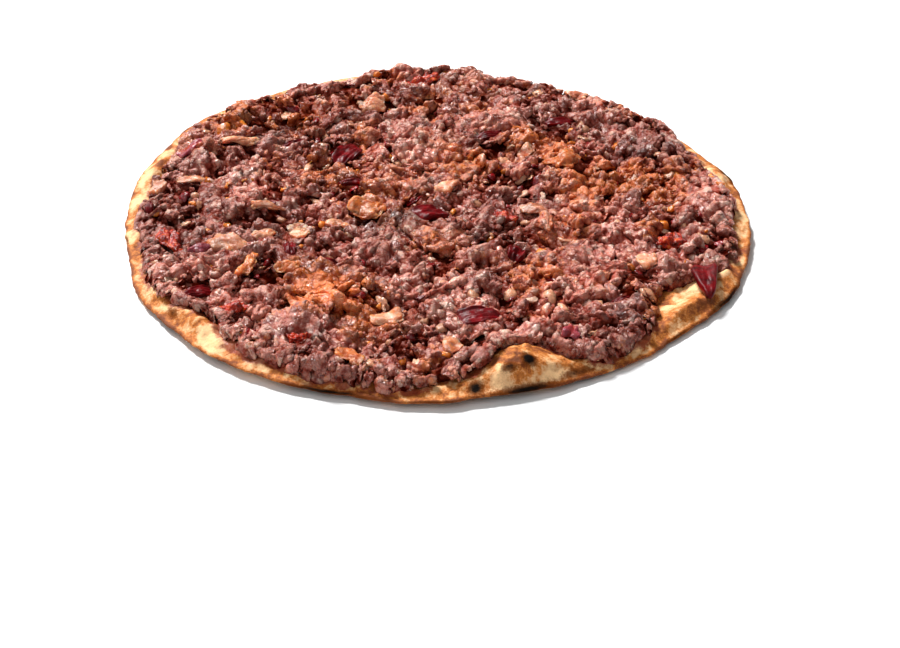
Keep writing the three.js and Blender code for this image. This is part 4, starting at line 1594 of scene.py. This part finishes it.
class AddBits(bpy.types.Operator):
    """Adds the small bits of fat, yellow and red pepper and onion that are strewn in the meat"""

    bl_idname = "lahmacun.add_bits"
    bl_label = "Small bits"

    def execute(self, context):
        colours = context.scene.lahmacun_colours
        rng = np.random.default_rng(171)
        looks = {
            "fat_bits": (mixed(colours.fat, colours.pink_meat, 0.6), 0.2, "fat"),
            "golden_bits": (colours.golden_bits, 0.3, "onion"),
            "pepper_bits": (shade(colours.pepper, 1.3), 0.3, "pepper"),
            "onion_bits": (colours.onion, 0.3, "onion"),
            "onion_flakes": (mixed(colours.fat, colours.onion, 0.7), 0.25, "onion"),
        }
        for seed, (kind, (colour, gloss, slot)) in enumerate(looks.items()):
            spacing, width, flatness, tilt = BITS[kind]
            places = lattice_places(spacing, BIT_MARGIN, rng, 1.0, 0.5)
            widths = width * rng.lognormal(0, 0.28, len(places))
            lift = rng.uniform(-0.7, 1.0, len(places))
            if kind == "golden_bits":
                azimuth, out, across = np.array(GOLDEN_SPOTS).T
                azimuth = np.radians(azimuth)
                places = np.vstack([places, np.stack([out * np.cos(azimuth), out * np.sin(azimuth)], -1)])
                widths = np.append(widths, across)
                lift = np.append(lift, np.full_like(across, GOLDEN_LIFT))
            shape = (places, widths, flatness * widths, BIT_SIDE, BIT_NODULE)
            caps = mince(*shape, lift, tilt, rng, 500 + 20 * seed, rough=BIT_ROUGHNESS)
            points, faces, attributes = caps
            make_piece(kind, points, faces, bit_finish(kind, colour, gloss), slot, tone=attributes["tone"])
        return {"FINISHED"}


# ---------------------------------------------------------------------------------------------------------
# The studio
# ---------------------------------------------------------------------------------------------------------

CAMERA_ELEVATION = 34
CAMERA_DISTANCE = 1.0669
CAMERA_AIM = (0.0061, -0.0776, 0.0)
LENS = 100
FLOOR_HALF_WIDTH = 3.0
FLOOR_COLOUR = (0.93, 0.93, 0.93, 1.0)
WORLD_STRENGTH = 0.16
# Sun lamps: azimuth, elevation, strength, width.
LAMPS = {
    "key": (122, 46, 6.0, 14),
    "fill": (235, 50, 0.9, 70),
}


def add_sun(name, azimuth, elevation, strength, width):
    """A sun lamp that shines from this azimuth and elevation. Its width in degrees softens its shadows."""
    lamp = bpy.data.lights.new(name, "SUN")
    lamp.energy = strength
    lamp.angle = math.radians(width)
    light = bpy.data.objects.new(name, lamp)
    bpy.context.scene.collection.objects.link(light)
    azimuth, elevation = math.radians(azimuth), math.radians(elevation)
    flat = math.cos(elevation)
    towards = Vector((flat * math.cos(azimuth), flat * math.sin(azimuth), math.sin(elevation)))
    light.rotation_euler = towards.to_track_quat("Z", "Y").to_euler()
    light.location = towards


class AddStudio(bpy.types.Operator):
    """Adds the pale floor, the lights, the world and the camera"""

    bl_idname = "lahmacun.add_studio"
    bl_label = "Studio"

    def execute(self, context):
        scene = context.scene
        scene.view_settings.view_transform = "Standard"
        half = FLOOR_HALF_WIDTH
        corners = [(-half, -half, 0), (half, -half, 0), (half, half, 0), (-half, half, 0)]
        mesh = bpy.data.meshes.new("floor")
        mesh.from_pydata(corners, [], [(0, 1, 2, 3)])
        finish = Finish("floor", roughness=0.9)
        mesh.materials.append(finish.feed(base_color=FLOOR_COLOUR))
        floor = bpy.data.objects.new("floor", mesh)
        scene.collection.objects.link(floor)

        world = bpy.data.worlds.new("studio")
        world.use_nodes = True
        background = world.node_tree.nodes["Background"]
        background.inputs["Color"].default_value = (1.0, 1.0, 1.0, 1.0)
        background.inputs["Strength"].default_value = WORLD_STRENGTH
        scene.world = world
        for name, lamp in LAMPS.items():
            add_sun(name, *lamp)

        camera_data = bpy.data.cameras.new("camera")
        camera_data.lens = LENS
        camera = bpy.data.objects.new("camera", camera_data)
        scene.collection.objects.link(camera)
        lean = math.radians(CAMERA_ELEVATION)
        back = Vector((0, -math.cos(lean), math.sin(lean))) * CAMERA_DISTANCE
        camera.location = Vector(CAMERA_AIM) + back
        camera.rotation_euler = (math.pi / 2 - lean, 0, 0)
        scene.camera = camera
        return {"FINISHED"}


MEAT_STEPS = (AddMeatCore, AddMeatPatches, AddMeatClumps, AddMeatFringe, AddMeatCrumbs)
STEPS = (AddBread, *MEAT_STEPS, AddPeppers, AddTomatoes, AddOnions, AddBits, AddStudio)


class LahmacunPanel(bpy.types.Panel):
    """Lists the sizes, the colours and the pieces"""

    bl_idname = "VIEW3D_PT_lahmacun"
    bl_label = "Lahmacun"
    bl_space_type = "VIEW_3D"
    bl_region_type = "UI"
    bl_category = "Lahmacun"

    def draw(self, context):
        for settings in (context.scene.lahmacun_sizes, context.scene.lahmacun_colours):
            column = self.layout.column()
            for name in settings.bl_rna.properties.keys():
                if name not in ("rna_type", "name"):
                    column.prop(settings, name)
        for step in STEPS:
            self.layout.operator(step.bl_idname)


CLASSES = (LahmacunSizes, LahmacunColours, *STEPS, LahmacunPanel)


def register():
    """Registers the classes and hangs the settings on the scene."""
    for cls in CLASSES:
        bpy.utils.register_class(cls)
    bpy.types.Scene.lahmacun_sizes = PointerProperty(type=LahmacunSizes)
    bpy.types.Scene.lahmacun_colours = PointerProperty(type=LahmacunColours)


def unregister():
    """Undoes what register does."""
    del bpy.types.Scene.lahmacun_colours
    del bpy.types.Scene.lahmacun_sizes
    for cls in reversed(CLASSES):
        bpy.utils.unregister_class(cls)


def main():
    """Adds the pieces and the studio."""
    register()
    for step in STEPS:
        group, name = step.bl_idname.split(".")
        getattr(getattr(bpy.ops, group), name)()
    bpy.context.view_layer.update()


if __name__ == "__main__":
    main()
